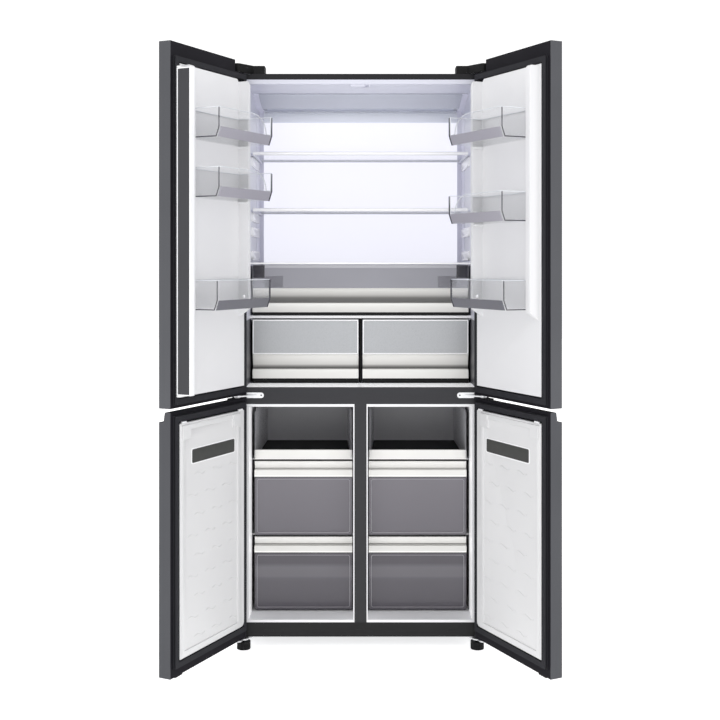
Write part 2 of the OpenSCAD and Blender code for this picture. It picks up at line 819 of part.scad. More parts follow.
module upper_liner(side, bins) color("#f2f2f3") hang(side) {
    difference() {
        union() {
            block([liner_u0, door_t, upper_liner_base], [liner_u1, liner_v, upper_liner_top]);
            bar_x(dike_u0, dike_u0 + dike_hinge_w, dike_profile());
            bar_x(dike_u1 - dike_free_w, dike_u1, dike_profile());
        }
        // Bevel of the top corner at the hinge
        translate([liner_u0, door_t - cut, upper_liner_top]) rotate([-90, 0, 0])
            linear_extrude(dike_v) polygon([[-cut, -cut], [40, -cut], [-cut, 44]]);
    }
    for (z = bins, u = [[bin_u0 - bin_gap - eps, bin_u0 + 5], [bin_u1 - 5, bin_u1 + bin_gap + eps]])
        block([u[0], liner_v - eps, z - 6], [u[1], dike_v - 3, z - ledge_gap]);
}

module lower_liner(side) color("#f2f2f3") hang(side) {
    ridge = 3;
    ridge_u0 = wall_t + freezer_rim + 4;
    corner = 15;
    difference() {
        block([liner_u0, door_t, lower_liner_base], [liner_u1, liner_v, lower_liner_top]);
        translate([liner_u0, liner_v + cut, lower_liner_base]) rotate([90, 0, 0])
            linear_extrude(door_liner_h + 2 * cut) difference() {
                translate([-cut, -cut]) square(corner + cut);
                translate([corner, corner]) circle(corner);
            }
    }
    // Ridge that reaches into the freezer's opening, higher at its top corners
    ring([ridge_u0, liner_u1 - 6], [lower_liner_base + 6, lower_liner_top - 6], 14,
        [liner_v - eps, liner_v + ridge]);
    for (u = [ridge_u0, liner_u1 - 46])
        block([u, liner_v - eps, lower_liner_top - 46], [u + 40, liner_v + 2 * ridge, lower_liner_top - 6]);
}

left_bins = [for (h = [bin_low, bin_mid_left, bin_high]) upper_liner_base + h];
right_bins = [for (h = [bin_low, bin_mid_right, bin_high]) upper_liner_base + h];

// Arm with a pin that carries one end of the flipper
module knuckle(z, pin_z) {
    block([dike_u1 - 8, flipper_v - flipper_r, z], [flipper_u, flipper_v + flipper_r, z + knuckle_h]);
    translate([flipper_u, flipper_v, z]) cylinder(h = knuckle_h, r = flipper_r);
    translate([flipper_u, flipper_v, pin_z]) cylinder(h = 10 + knuckle_gap + eps, r = flipper_pin_r);
}

module upper_left_liner() {
    upper_liner(0, left_bins);
    color("#f2f2f3") hang(0) {
        knuckle(flipper_top + knuckle_gap, flipper_top - 10);
        knuckle(flipper_base - knuckle_gap - knuckle_h, flipper_base - knuckle_gap - eps);
    }
}

module flipper_plan() {
    translate([flipper_u, flipper_v]) circle(flipper_r);
    translate([flipper_u - flipper_r, flipper_v]) square([flipper_t, flipper_w - flipper_r]);
}

module flipper_face_block() block(
    [flipper_u + flipper_r - 1.5, flipper_v, flipper_base + 14],
    [flipper_u + flipper_r + cut, flipper_v + flipper_face_w, flipper_top - 14]);

module flipper_housing() color("#e9e9ea") hang(0) difference() {
    translate([0, 0, flipper_base]) linear_extrude(flipper_top - flipper_base) flipper_plan();
    flipper_face_block();
    for (z = [flipper_base - eps, flipper_top - 11])
        translate([flipper_u, flipper_v, z]) cylinder(h = 11 + eps, r = flipper_pin_r + run_gap);
}

module flipper_face() color("#4c4d52") hang(0) intersection() {
    translate([0, 0, flipper_base]) linear_extrude(flipper_top - flipper_base) flipper_plan();
    flipper_face_block();
}

// Bin with a leaning band under its clear front, which falls away in an arc near the hinge
module bin(side, z) color("#cdd4d8", 0.6) hang(side) translate([0, 0, z]) difference() {
    arc_u = bin_u0 + 33;
    arc_w = 74;
    arc_h = bin_h - bin_band_h;
    bin_body(0);
    bin_body(bin_t);
    translate([0, bin_v + bin_d + cut, 0]) rotate([90, 0, 0]) linear_extrude(bin_t + 2 * cut) polygon(concat(
        [for (a = [0 : 15 : 90]) [arc_u + arc_w * (1 - cos(a)), bin_band_h + arc_h * sin(a)]],
        [[arc_u + arc_w, bin_h + cut], [bin_u0 + bin_corner, bin_h + cut], [bin_u0 + bin_corner, bin_band_h]]
    ));
}

module bin_body(t) {
    z0 = t;
    z1 = t > 0 ? bin_h + cut : bin_h;
    slope = bin_lean / bin_band_h;
    foot = bin_v + bin_d - bin_lean - t;
    intersection() {
        bar_x(bin_u0 + t, bin_u1 - t, [
            [bin_v + t, z0], [foot + z0 * slope, z0],
            [bin_v + bin_d - t, bin_band_h], [bin_v + bin_d - t, z1], [bin_v + t, z1]
        ]);
        translate([bin_u0 + t, bin_v - 20, 0]) linear_extrude(bin_h + 2 * cut)
            rounded([bin_u1 - bin_u0 - 2 * t, bin_d + 20 - t], bin_corner);
    }
}

// Fridge drawers

mould_back = grip_d + 7;
mould_slope = 19;

// Profile of the light moulding in [y, z] from the drawer's lower front edge
function mould_profile() = concat(
    [[0, 0], [0, lip_h], [4, lip_h], [4, lip_h - 11], [grip_d - 4, lip_h - 11]],
    [for (a = [0 : 15 : 90])
        [3 + (grip_d - 3) * cos(a), lip_h + (mould_h - lip_h) * sin(a)]],
    [[6, mould_h], [mould_back, mould_h - mould_slope], [mould_back, 0]]
);

module drawer_mould(x0, x1, z) color("#e7e6e2") in_case()
    translate([0, drawer_front, z]) bar_x(x0, x1, mould_profile());

// Tub whose front leans over the moulding; base is its underside and z the moulding's foot
module drawer_tub(x0, x1, base, z, h) {
    t = tub_t;
    back = drawer_d;
    top = z + h;
    translate([0, drawer_front, 0]) difference() {
        bar_x(x0, x1, [
            [mould_back, base], [back, base], [back, top - 4], [2, top - 4], [2, top], [0, top],
            [0, z + mould_h], [6, z + mould_h], [mould_back, z + mould_h - mould_slope]
        ]);
        bar_x(x0 + t, x1 - t, [
            [mould_back + t, base + t], [back - t, base + t], [back - t, top + cut], [t, top + cut],
            [t, z + mould_h + t], [6 + t, z + mould_h + t],
            [mould_back + t, z + mould_h - mould_slope + t]
        ]);
    }
}

module crisper_tub() color("#9c9da2", 0.8) in_case()
    drawer_tub(-drawer_x, drawer_x, plate_top + slide_gap, wide_base, wide_h);

module crisper_front() drawer_mould(-drawer_x, drawer_x, wide_base);

module half_tub(side) color("#b9bbbf", 0.8) in_case() on_side(side)
    drawer_tub(-drawer_x, -half_inner, beam_top + slide_gap, half_base, half_h);

module half_front(side) on_side(side) drawer_mould(-drawer_x, -half_inner, half_base);

// Freezer drawers

module frost_tub(side, base, h, d) color("#77777d", 0.8) in_case() on_side(side)
    translate([0, freezer_front, base]) {
        t = tub_t;
        shoulder = h - handle_h;
        difference() {
            bar_x(-frost_x1, -frost_x0, [
                [panel_in, 0], [d, 0], [d, h], [handle_d, h], [handle_d, shoulder], [panel_in, shoulder]
            ]);
            bar_x(-frost_x1 + t, -frost_x0 - t, [
                [panel_in + t, t], [d - t, t], [d - t, h + cut], [handle_d + t, h + cut],
                [handle_d + t, shoulder - t], [panel_in + t, shoulder - t]
            ]);
        }
        // Raised frame round the front window
        translate([-frost_x1, panel_in + eps, 0]) rotate([90, 0, 0]) linear_extrude(2) difference() {
            rounded([frost_x1 - frost_x0, shoulder - 1], 6);
            translate([8, 8]) rounded([frost_x1 - frost_x0 - 16, shoulder - 17], 4);
        }
    }

// Handle moulding on the tub's shoulder: a lip, the finger channel behind it and a hollow band
module frost_handle(side, base, h) color("#eeedea") in_case() on_side(side)
    translate([0, freezer_front, base + h - handle_h]) bar_x(-frost_x1, -frost_x0, concat(
        [[-1.5, 0], [-1.5, frost_lip_h], [2.5, frost_lip_h], [2.5, frost_lip_h - 10],
            [handle_d - 6, frost_lip_h - 10]],
        [for (a = [0 : 15 : 90])
            [1 + (handle_d - 5) * cos(a), frost_lip_h + (handle_h - frost_lip_h) * sin(a)]],
        [[handle_d, handle_h], [handle_d, 0]]
    ));

module tray(side) color("#3b3b3f") in_case() on_side(side)
    translate([0, freezer_front, tray_base]) {
        side_start = 30;
        corner = 45;
        width = frost_x1 - frost_x0;
        translate([-frost_x1, 0, 0]) {
            // Floor, low front strip and back
            block([0, 4, 0], [width, deep_d, tub_t]);
            block([0, 0, 0], [width, tub_t + 3, tray_front_h]);
            block([0, deep_d - tub_t, 0], [width, deep_d, tray_h]);
            // Sides with a round front corner
            for (x = [0, width - tub_t]) translate([x, 0, 0]) rotate([90, 0, 90]) linear_extrude(tub_t) {
                square([deep_d, tray_front_h]);
                translate([side_start, 0]) square([deep_d - side_start, tray_h - corner]);
                translate([side_start + corner, 0]) square([deep_d - side_start - corner, tray_h]);
                translate([side_start + corner, tray_h - corner]) circle(corner);
            }
        }
    }

// Nodes that repeat with a side

module upper_left_skin() upper_skin(0);
module upper_left_frame() upper_frame(0);
module upper_left_gasket() upper_gasket(0);
module upper_right_skin() upper_skin(1);
module upper_right_frame() upper_frame(1);
module upper_right_liner() upper_liner(1, right_bins);
module upper_right_gasket() upper_gasket(1);
module lower_left_skin() lower_skin(0);
module lower_left_frame() lower_frame(0);
module lower_left_liner() lower_liner(0);
module lower_left_gasket() lower_gasket(0);
module lower_right_skin() lower_skin(1);
module lower_right_frame() lower_frame(1);
module lower_right_liner() lower_liner(1);
module lower_right_gasket() lower_gasket(1);
module bin_left_bottom() bin(0, left_bins[0]);
module bin_left_middle() bin(0, left_bins[1]);
module bin_left_top() bin(0, left_bins[2]);
module bin_right_bottom() bin(1, right_bins[0]);
module bin_right_middle() bin(1, right_bins[1]);
module bin_right_top() bin(1, right_bins[2]);
module half_left_tub() half_tub(0);
module half_left_front() half_front(0);
module half_right_tub() half_tub(1);
module half_right_front() half_front(1);
module tray_left() tray(0);
module tray_right() tray(1);
module middle_left_tub() frost_tub(0, middle_base, middle_h, deep_d);
module middle_left_handle() frost_handle(0, middle_base, middle_h);
module middle_right_tub() frost_tub(1, middle_base, middle_h, deep_d);
module middle_right_handle() frost_handle(1, middle_base, middle_h);
module bottom_left_tub() frost_tub(0, bottom_base, bottom_h, short_d);
module bottom_left_handle() frost_handle(0, bottom_base, bottom_h);
module bottom_right_tub() frost_tub(1, bottom_base, bottom_h, short_d);
module bottom_right_handle() frost_handle(1, bottom_base, bottom_h);

outer_case();
rear_panels();
cabinet_foam();
fridge_liner();
freezer_liners();
front_rails();
hinge_brackets();
hinge_covers();
air_ducts();
lamp_covers();
upper_shelf();
middle_shelf();
crisper_shelf();
compressor();
condenser();
machine_base();
condenser_fan();
foot_left();
foot_right();
rear_rollers();
upper_left_skin();
upper_left_frame();
upper_left_liner();
upper_left_gasket();
upper_right_skin();
upper_right_frame();
upper_right_liner();
upper_right_gasket();
lower_left_skin();
lower_left_frame();
lower_left_liner();
lower_left_gasket();
lower_right_skin();
lower_right_frame();
lower_right_liner();
lower_right_gasket();
flipper_housing();
flipper_face();
bin_left_top();
bin_left_middle();
bin_left_bottom();
bin_right_top();
bin_right_middle();
bin_right_bottom();
crisper_tub();
crisper_front();
half_left_tub();
half_left_front();
half_right_tub();
half_right_front();
tray_left();
tray_right();
middle_left_tub();
middle_left_handle();
middle_right_tub();
middle_right_handle();
bottom_left_tub();
bottom_left_handle();
bottom_right_tub();
bottom_right_handle();
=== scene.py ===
"""Finished look of a multi-door refrigerator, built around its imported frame.

Lengths inside the functions are millimetres until put() turns them to metres.
"""
import json
import math

import bmesh
import bpy
from bpy.props import FloatProperty, FloatVectorProperty, PointerProperty
from mathutils import Matrix, Vector


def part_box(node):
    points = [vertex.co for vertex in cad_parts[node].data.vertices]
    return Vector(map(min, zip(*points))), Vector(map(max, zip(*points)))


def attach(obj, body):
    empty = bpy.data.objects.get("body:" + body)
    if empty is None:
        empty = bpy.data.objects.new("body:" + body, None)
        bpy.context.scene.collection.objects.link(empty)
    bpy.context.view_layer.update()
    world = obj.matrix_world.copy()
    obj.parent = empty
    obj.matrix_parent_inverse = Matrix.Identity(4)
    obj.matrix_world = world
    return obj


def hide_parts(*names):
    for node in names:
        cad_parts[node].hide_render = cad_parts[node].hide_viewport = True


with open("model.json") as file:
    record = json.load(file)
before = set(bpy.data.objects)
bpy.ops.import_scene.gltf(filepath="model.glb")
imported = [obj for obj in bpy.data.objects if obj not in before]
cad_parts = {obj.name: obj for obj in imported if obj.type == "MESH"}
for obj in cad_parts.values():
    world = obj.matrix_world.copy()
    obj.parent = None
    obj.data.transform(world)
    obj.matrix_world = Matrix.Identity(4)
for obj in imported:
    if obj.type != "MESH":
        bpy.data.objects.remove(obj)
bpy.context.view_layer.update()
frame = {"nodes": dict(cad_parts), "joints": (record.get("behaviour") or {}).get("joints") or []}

bl_info = {
    "name": "Multi-Door Refrigerator",
    "version": (1, 0, 0),
    "blender": (4, 5, 0),
    "location": "View3D > Sidebar > Refrigerator",
    "description": "Builds the trims, bins, shelves, finishes and studio of a four-door refrigerator",
    "category": "Object",
}


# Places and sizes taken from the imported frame

def node_box(name):
    """A node's lowest and highest corners in millimetres."""
    low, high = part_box(name)
    return Vector(low) * 1000, Vector(high) * 1000


HINGE = next(entry for entry in frame["joints"] if entry["name"] == "upper_left_door_hinge")
PIVOT = Vector(HINGE["pos_m"]) * 1000
OPEN_TURN = math.radians(HINGE["range_deg"][0])
CASE_LOW, CASE_HIGH = node_box("outer_case")
FRONT = CASE_LOW.y
# Distances of the hinge pin from the door's hinge edge and from its outer face
PIN_IN = 20.0
PIN_BACK = 22.0
CENTRE_GAP = 4.0
DOOR_WIDE = (CASE_HIGH.x - CASE_LOW.x - CENTRE_GAP) / 2
# From a door's outer face to the inner face of its liner
LINER_FACE = 52.0
# Half the width between the fridge's side walls, and the depth that the sheets of painted shade on them reach
WALL = node_box("front_rails")[1].x
WALL_BACK = 454
SIDES = {"left": -1, "right": 1}


def put(x, y, z):
    """A point of the cabinet: y counts from the front plane, all in millimetres."""
    return Vector((x, FRONT + y, z)) / 1000


def door_put(side):
    """Returns the function that puts a door's own (u, v, z) into the frame.

    u runs from the hinge edge, v from the outer face.
    """
    cos, sin = math.cos(OPEN_TURN), math.sin(OPEN_TURN)
    sign = -SIDES[side]

    def place(u, v, z):
        du, dv = u - PIN_IN, v - PIN_BACK
        x = PIVOT.x + du * cos - dv * sin
        y = PIVOT.y + du * sin + dv * cos
        return Vector((sign * x, y, z)) / 1000

    return place


def heading(along, outward):
    """Turn that lays a piece's x along one direction and lifts its z outward, as Euler angles."""
    x, z = Vector(along).normalized(), Vector(outward).normalized()
    return Matrix((x, z.cross(x), z)).transposed().to_euler()[:]


# Colours and materials

def linear(colour):
    """Linear RGBA of an sRGB hex value, or of a colour property, which is linear already."""
    if not isinstance(colour, str):
        return [*colour, 1.0]
    parts = [int(colour[k:k + 2], 16) / 255 for k in (0, 2, 4)]
    return [c / 12.92 if c <= 0.04045 else ((c + 0.055) / 1.055) ** 2.4 for c in parts] + [1.0]


def add(tree, kind, inputs=None, **settings):
    """Adds a node with its settings, and sets or links its inputs."""
    node = tree.nodes.new(kind)
    for name, value in settings.items():
        setattr(node, name, value)
    for key, value in (inputs or {}).items():
        if isinstance(value, bpy.types.NodeSocket):
            tree.links.new(value, node.inputs[key])
        else:
            node.inputs[key].default_value = value
    return node


def blank(name, **sockets):
    """A new material, its tree, its shader with these sockets set, and the object's coordinates."""
    material = bpy.data.materials.new(name)
    material.use_nodes = True
    tree = material.node_tree
    shader = tree.nodes["Principled BSDF"]
    for key, value in sockets.items():
        shader.inputs[key.replace("_", " ")].default_value = value
    return material, tree, shader, add(tree, "ShaderNodeTexCoord").outputs["Object"]


def drifting(tree, where, tones, socket, **noise):
    """Lets a colour drift between two close tones."""
    drift = add(tree, "ShaderNodeTexNoise", {"Vector": where, **noise})
    tone = add(tree, "ShaderNodeMix", {
        0: drift.outputs["Fac"], 6: linear(tones[0]), 7: linear(tones[1])}, data_type="RGBA")
    tree.links.new(tone.outputs[2], socket)


def glossed(tree, shader, where, scale, rough):
    """Spreads the roughness over a range with a fine noise, and returns that noise."""
    fine = add(tree, "ShaderNodeTexNoise", {"Vector": where, "Scale": scale, "Detail": 2.0}).outputs["Fac"]
    gloss = add(tree, "ShaderNodeMapRange", {"Value": fine, "To Min": rough[0], "To Max": rough[1]})
    tree.links.new(gloss.outputs["Result"], shader.inputs["Roughness"])
    return fine


def mottled(name, tones, patch, grain, relief, rough, stretch=(1, 1, 1), **sockets):
    """A surface whose colour drifts between two close tones over a fine relief.

    patch and grain are the sizes in millimetres of the drift and of the relief, relief is its
    height in millimetres, rough is the lowest and highest roughness, and stretch lengthens the
    grain along an axis where it is below 1.
    """
    material, tree, shader, where = blank(name, **sockets)
    drifting(tree, where, tones, shader.inputs["Base Color"], Scale=1000 / patch, Detail=3.0)
    run = add(tree, "ShaderNodeMapping", {"Vector": where, "Scale": stretch}).outputs["Vector"]
    fine = glossed(tree, shader, run, 1000 / grain, rough)
    if relief:
        bump = add(tree, "ShaderNodeBump", {"Height": fine, "Distance": relief / 1000, "Strength": 0.6})
        tree.links.new(bump.outputs["Normal"], shader.inputs["Normal"])
    return material


def shaded(name, stops, node, rough, **sockets):
    """A moulding whose tone follows its height: stops are (share of the node's height, colour)."""
    material, tree, shader, where = blank(name, **sockets)
    low, high = node_box(node)
    height = add(tree, "ShaderNodeSeparateXYZ", {"Vector": where}).outputs["Z"]
    share = add(tree, "ShaderNodeMapRange", {
        "Value": height, "From Min": low.z / 1000, "From Max": high.z / 1000})
    ramp = add(tree, "ShaderNodeValToRGB", {"Fac": share.outputs["Result"]})
    points = ramp.color_ramp.elements
    for spot, colour in stops[1:-1]:
        points.new(spot)
    for point, (spot, colour) in zip(points, stops):
        point.position = spot
        point.color = linear(colour)
    tree.links.new(ramp.outputs["Color"], shader.inputs["Base Color"])
    glossed(tree, shader, where, 700.0, rough)
    return material


def veiled(name, tint, faced, grazed, rough):
    """A clear wall whose cover grows from faced, seen square on, to grazed, seen at a low angle."""
    material, tree, shader, where = blank(name, IOR=1.49, Base_Color=linear(tint))
    glossed(tree, shader, where, 22.0, rough)
    edge = add(tree, "ShaderNodeLayerWeight", {"Blend": 0.35}).outputs["Facing"]
    cover = add(tree, "ShaderNodeMapRange", {"Value": edge, "To Min": faced, "To Max": grazed})
    tree.links.new(cover.outputs["Result"], shader.inputs["Alpha"])
    return material


def glowing(name, base, tones, strength):
    """A panel whose own light drifts slowly between two tones."""
    material, tree, shader, where = blank(
        name, Roughness=0.35, Base_Color=linear(base), Emission_Strength=strength)
    drifting(tree, where, tones, shader.inputs["Emission Color"], Scale=2.2, Detail=1.0)
    return material


def handle_stops(lip, groove):
    """Tones of a freezer handle from its foot up: a painted highlight on the lower edge, the lip, painted
    shade in the finger groove and a painted highlight along the top.
    """
    return ((0.0, "f3f2ef"), (0.08, "efeeeb"), (0.12, lip), (0.43, lip), (0.45, groove), (0.50, groove),
            (0.54, "efeeeb"), (0.90, "f6f5f3"), (1.0, "fdfcfa"))


def make_materials():
    """Every finish of the refrigerator, by a short key."""
    own = bpy.context.scene.refrigerator_colours
    brushed_up = (1, 1, 0.02)
    return {
        # Pre-coated steel sheet of the doors, brushed upright: a dark satin grey with faint hairlines
        "door_metal": mottled("Brushed pre-coated steel", (own.door, own.door_light),
            160, 2.5, 0.02, (0.30, 0.42), brushed_up, Metallic=0.55),
        # Painted steel of the cabinet: dark, slightly pebbled by the spray
        "case_metal": mottled("Painted steel case", (own.case, own.case_light),
            220, 1.6, 0.02, (0.38, 0.50), Specular_IOR_Level=0.2),
        # Painted shade: the lower doors' sheet is the same steel, given a deeper tone to offset the light the
        # studio's bright floor throws up on it
        "low_door_shaded_metal": mottled("Brushed pre-coated steel with painted shade, lower doors", (own.low_door, own.low_door_light),
            160, 2.5, 0.02, (0.30, 0.42), brushed_up, Metallic=0.55),
        # Powder-coated rails, beam and plinth: dark grey with a soft sheen, near black at the plinth's foot
        "dark_metal": shaded("Powder-coated rail", (
            (0.0, "0e0e10"), (0.055, "0e0e10"), (0.06, "27272a"), (1.0, "2a2a2e")),
            "front_rails", (0.42, 0.55), Specular_IOR_Level=0.3),
        # Glass-filled ABS of the door frames: near black with a fine moulded grain
        "door_frame": mottled("Grained ABS frame", ("1b1a1e", "201f24"),
            120, 0.9, 0.03, (0.60, 0.75), Specular_IOR_Level=0.06),
        # Thermoplastic elastomer of the gaskets: dull dark grey
        "gasket_rubber": mottled("Gasket elastomer", ("242428", "29292d"),
            60, 0.7, 0.02, (0.60, 0.75), Specular_IOR_Level=0.15),
        # Vacuum-formed polystyrene of the liners: clean white with a slow ripple from the mould
        "white_liner": mottled("Vacuum-formed polystyrene", ("e4e4e7", "e9e9eb"), 320, 1.5, 0, (0.26, 0.32)),
        # The door liners are the same sheet, painted a little greyer for shade; the lower ones are painted
        # greyest
        "door_liner": mottled("Door liner polystyrene", (own.liner, own.liner_light),
            320, 1.5, 0, (0.28, 0.34)),
        "low_door_liner": mottled("Lower door liner polystyrene", ("cececf", "d4d4d5"),
            320, 1.5, 0, (0.28, 0.34)),
        # The same sheet inside the fridge, painted a cooler, greyer tone that stands in for the lamp's blue
        # light and the shade inside
        "inner_liner": mottled("Polystyrene liner with painted lamp tint", ("c8c9d5", "cecfdb"), 260, 1.5, 0, (0.28, 0.34)),
        # ABS of small white mouldings: bright, with a faint grain
        "white_plastic": mottled("White moulded ABS", ("e6e6e9", "efeff1"), 90, 1.0, 0.01, (0.25, 0.35)),
        # ABS of the plate between the fridge drawers: pale grey, smooth
        "plate_grey": mottled("Pale grey ABS plate", ("dddddf", "e3e3e5"), 90, 1.0, 0, (0.25, 0.35)),
        # Lamp housing: milky polycarbonate with a blue-grey cast
        "lamp_housing": mottled("Milky polycarbonate", ("b3b6c1", "bbbec8"), 180, 1.5, 0, (0.24, 0.30)),
        # Duct cover: light grey moulding
        "duct_plastic": mottled("Pale duct moulding", ("e0e3eb", "e6e9f0"), 150, 1.5, 0, (0.28, 0.38)),
        # Zinc-plated, then brushed hinge steel: bright, with short scratches
        "hinge_steel": mottled("Brushed zinc-plated steel", ("c2c3c6", "dcdcde"),
            14, 0.9, 0.02, (0.22, 0.38), (1, 1, 0.15), Metallic=0.9),
        # Polypropylene of covers, feet and rollers: black, nearly dull; the same black paints the shadow in
        # the gaps under the drawers and trays
        "black_plastic": mottled("Black polypropylene and painted shadow", ("080809", "0d0d0f"),
            40, 0.8, 0.03, (0.45, 0.60), Specular_IOR_Level=0.2),
        # Cured polyurethane between the cabinet's walls: cream with coarse cells
        "foam": mottled("Polyurethane foam", ("d3c79c", "dfd5b0"), 30, 3.0, 0.30, (0.85, 0.95)),
        # Galvanised rear panel and deck: grey spangle
        "rear_metal": mottled("Galvanised sheet", ("8c8e92", "a2a4a7"),
            22, 9.0, 0.02, (0.34, 0.52), Metallic=0.75),
        "deck_steel": mottled("Galvanised deck", ("74767a", "888a8d"),
            22, 9.0, 0.02, (0.38, 0.55), Metallic=0.7),
        # Stoved enamel of the compressor and dipped enamel of its coil: black, glossy on the shell
        "compressor_steel": mottled("Black enamelled shell", ("141416", "1c1c1f"),
            60, 2.0, 0.03, (0.18, 0.30), Coat_Weight=0.3),
        "condenser_metal": mottled("Black dipped coil", ("232428", "2f3034"), 30, 1.2, 0.03, (0.35, 0.50)),
        # Moulded polystyrene of the trays: grey and smooth, with a soft sheen
        "tray_plastic": mottled("Grey tray polystyrene", ("b0b0b4", "b9b9bd"),
            120, 1.5, 0, (0.24, 0.32), Specular_IOR_Level=0.3),
        # Painted steel face of the flipper: dark, with upright hairlines under the paint
        "flipper_metal": mottled("Painted flipper face", ("2f2f33", "37373b"),
            140, 1.2, 0.02, (0.34, 0.46), (1, 1, 0.05), Metallic=0.3),
        # Ribbed mat on the floor of the trays: black and dull
        "mat": mottled("Black ribbed mat", ("262628", "2d2d2f"),
            60, 2.0, 0.02, (0.55, 0.70), Specular_IOR_Level=0.15),
        # Painted light: white polystyrene given a faint glow of its own, standing in for the room's light
        # bouncing between the faces near the front
        "lit_white": mottled("Polystyrene with painted bounced light", ("eeeef0", "f4f4f5"), 200, 1.5, 0, (0.24, 0.32),
            Emission_Color=linear("ffffff"), Emission_Strength=0.33),
        # Painted shade over the grey of the wide tub's side and rear corner, seen through its front: deep at
        # the side, faint further in
        "side_shade": mottled("Painted shade on the tub's side", ("3f3e44", "47464c"),
            120, 1.5, 0, (0.10, 0.16), Alpha=0.62),
        "faint_side_shade": mottled("Faint painted shade on the tub's rear corner", ("6d6c73", "75747b"),
            120, 1.5, 0, (0.10, 0.16), Alpha=0.12),
        # Band along the top of the wide drawer's front: smoke grey, a little glossy
        "rim_grey": mottled("Smoke-grey rim", ("a3a2a8", "abaab0"), 120, 1.5, 0, (0.16, 0.24)),
        # Bare plate on the freezer doors: dark matt film on ABS
        "plate": mottled("Matt charcoal plate", ("30312f", "3a3b39"), 18, 0.8, 0.02, (0.42, 0.55)),
        # Painted shade on the walls beside the drawers, where the drawers shade the white wall; and a painted
        # shade strip at their rear edge, lifted by a faint glow of its own
        "shade_sheet_dark": mottled("Painted deep wall shade", ("38383d", "434349"), 90, 1.2, 0.02, (0.30, 0.42)),
        "shade_sheet_grey": mottled("Painted grey wall shade", ("5f5f69", "6d6d78"), 90, 1.2, 0.02, (0.30, 0.42)),
        "wall_shade_and_glow": mottled("Painted wall shade and glow", ("b2b2c0", "bcbcc9"), 90, 1.2, 0, (0.30, 0.42),
            Emission_Color=linear("a6a6b4"), Emission_Strength=0.30),
        # Frosted styrene of the half drawers and of the bins' bands: cool grey, softly blurred
        "half_panel": mottled("Frosted grey styrene", ("a6a8ab", "adafb2"), 200, 2.0, 0, (0.24, 0.32)),
        "bin_band": mottled("Frosted grey bin band", ("918f98", "9a98a1"), 200, 2.0, 0.02, (0.25, 0.38)),
        # Painted shade: the same band, darker, on the bottom bins
        "bin_band_dark": mottled("Shaded grey bin band", ("5f5f66", "67676e"), 200, 2.0, 0.02, (0.25, 0.38)),
        # Flame-polished rim of the bins, and painted shade on their cut ends, where the clear wall bends the
        # light away
        "bin_rim": mottled("Polished styrene rim", ("c9ccd2", "d6d9de"), 60, 1.0, 0.01, (0.10, 0.18)),
        "edge_dark": mottled("Painted shade on the cut edge of clear styrene", ("3c3c42", "4a4a50"),
            30, 1.0, 0.01, (0.15, 0.25)),
        # Moulded ABS trims: pale grey at the back of the shelves, glossy white at the front
        "trim_grey": mottled("Pale grey shelf trim", ("c4c5cc", "cfd0d6"), 140, 1.4, 0.01, (0.24, 0.34)),
        "trim_light": mottled("Glossy white trim", ("eeeef0", "f5f5f6"),
            120, 1.0, 0.01, (0.18, 0.26), Coat_Weight=0.2),
        # Moulded ABS strip of the trays: warm white, silky
        "moulding_bright": mottled("Bright ivory lip", ("dddcd9", "e3e2df"), 200, 0.8, 0.01, (0.26, 0.34)),
        # Lens of the ceiling lamp: frosted polycarbonate, blue-grey while its own light is low
        "lens": mottled("Frosted lamp lens", ("a9adbd", "b3b7c6"), 120, 1.2, 0.02, (0.30, 0.40)),
        # Injection-moulded clear styrene of the bins: a faint veil that gathers where the wall turns
        "clear_plastic": veiled("Clear styrene", "dcdee4", 0.025, 0.15, (0.04, 0.10)),
        # Tempered soda-lime glass: clear, with a cool sheen at a low angle
        "glass": veiled("Tempered glass", "c4cad2", 0.04, 0.14, (0.01, 0.04)),
        # Smoke-tinted styrene of the freezer drawers: a lilac-grey veil over what lies behind
        "smoky_plastic": shaded("Smoky styrene", (
            (0.0, "66636a"), (0.80, "737077"), (1.0, "737077")),
            "middle_left_tub", (0.12, 0.16), Alpha=0.86),
        "smoky_deep": shaded("Deeper smoky styrene", (
            (0.0, "56535a"), (0.38, "59565d"), (0.43, "5d5a61"), (0.46, "69676d"), (0.58, "69676d"),
            (0.64, "524f56"), (1.0, "524f56")),
            "bottom_left_tub", (0.12, 0.16), Alpha=0.86),
        # The same styrene where it is seen edge on, dark, and where an edge catches the light
        "smoky_line": mottled("Thick edge of smoky styrene", ("2b2a2e", "333236"), 90, 2, 0, (0.12, 0.20)),
        "smoky_glint": mottled("Lit edge of smoky styrene", ("8a878d", "949197"), 90, 2, 0, (0.10, 0.16)),
        # The wide drawer's tub is clearer, so the wall behind it shows through
        "grey_clear": mottled("Grey clear styrene", ("929299", "9c9ca4"),
            260, 2, 0, (0.10, 0.12), Alpha=0.80),
        # Drawer mouldings: a bright lip, painted shade in the finger groove above it, then lighter towards
        # the top as the painted shade fades
        "mould_crisper": shaded("Silky ABS of the wide drawer", (
            (0.0, "c6c5c2"), (0.28, "dddcd9"), (0.375, "e9e8e5"), (0.395, "6c6b6a"), (0.50, "5c5b5a"),
            (0.59, "62615f"), (0.72, "b2b1ae"), (0.85, "cbcac7"), (1.0, "eae9e6")),
            "crisper_front", (0.28, 0.38)),
        "mould_half": shaded("Silky ABS of the half drawers", (
            (0.0, "ecebe8"), (0.30, "e9e8e5"), (0.375, "f1f0ed"), (0.385, "4c4b4a"), (0.43, "575655"),
            (0.50, "8f8e8c"), (0.57, "d2d1ce"), (0.72, "dfdedb"), (1.0, "eeedea")),
            "half_left_front", (0.28, 0.38)),
        # Painted shade and highlights on the freezer handles; the bottom handles' lip and groove are painted
        # darker
        "handle_middle": shaded("Silky ABS of middle_left_handle", handle_stops("dddcd9", "b0afad"),
            "middle_left_handle", (0.28, 0.38)),
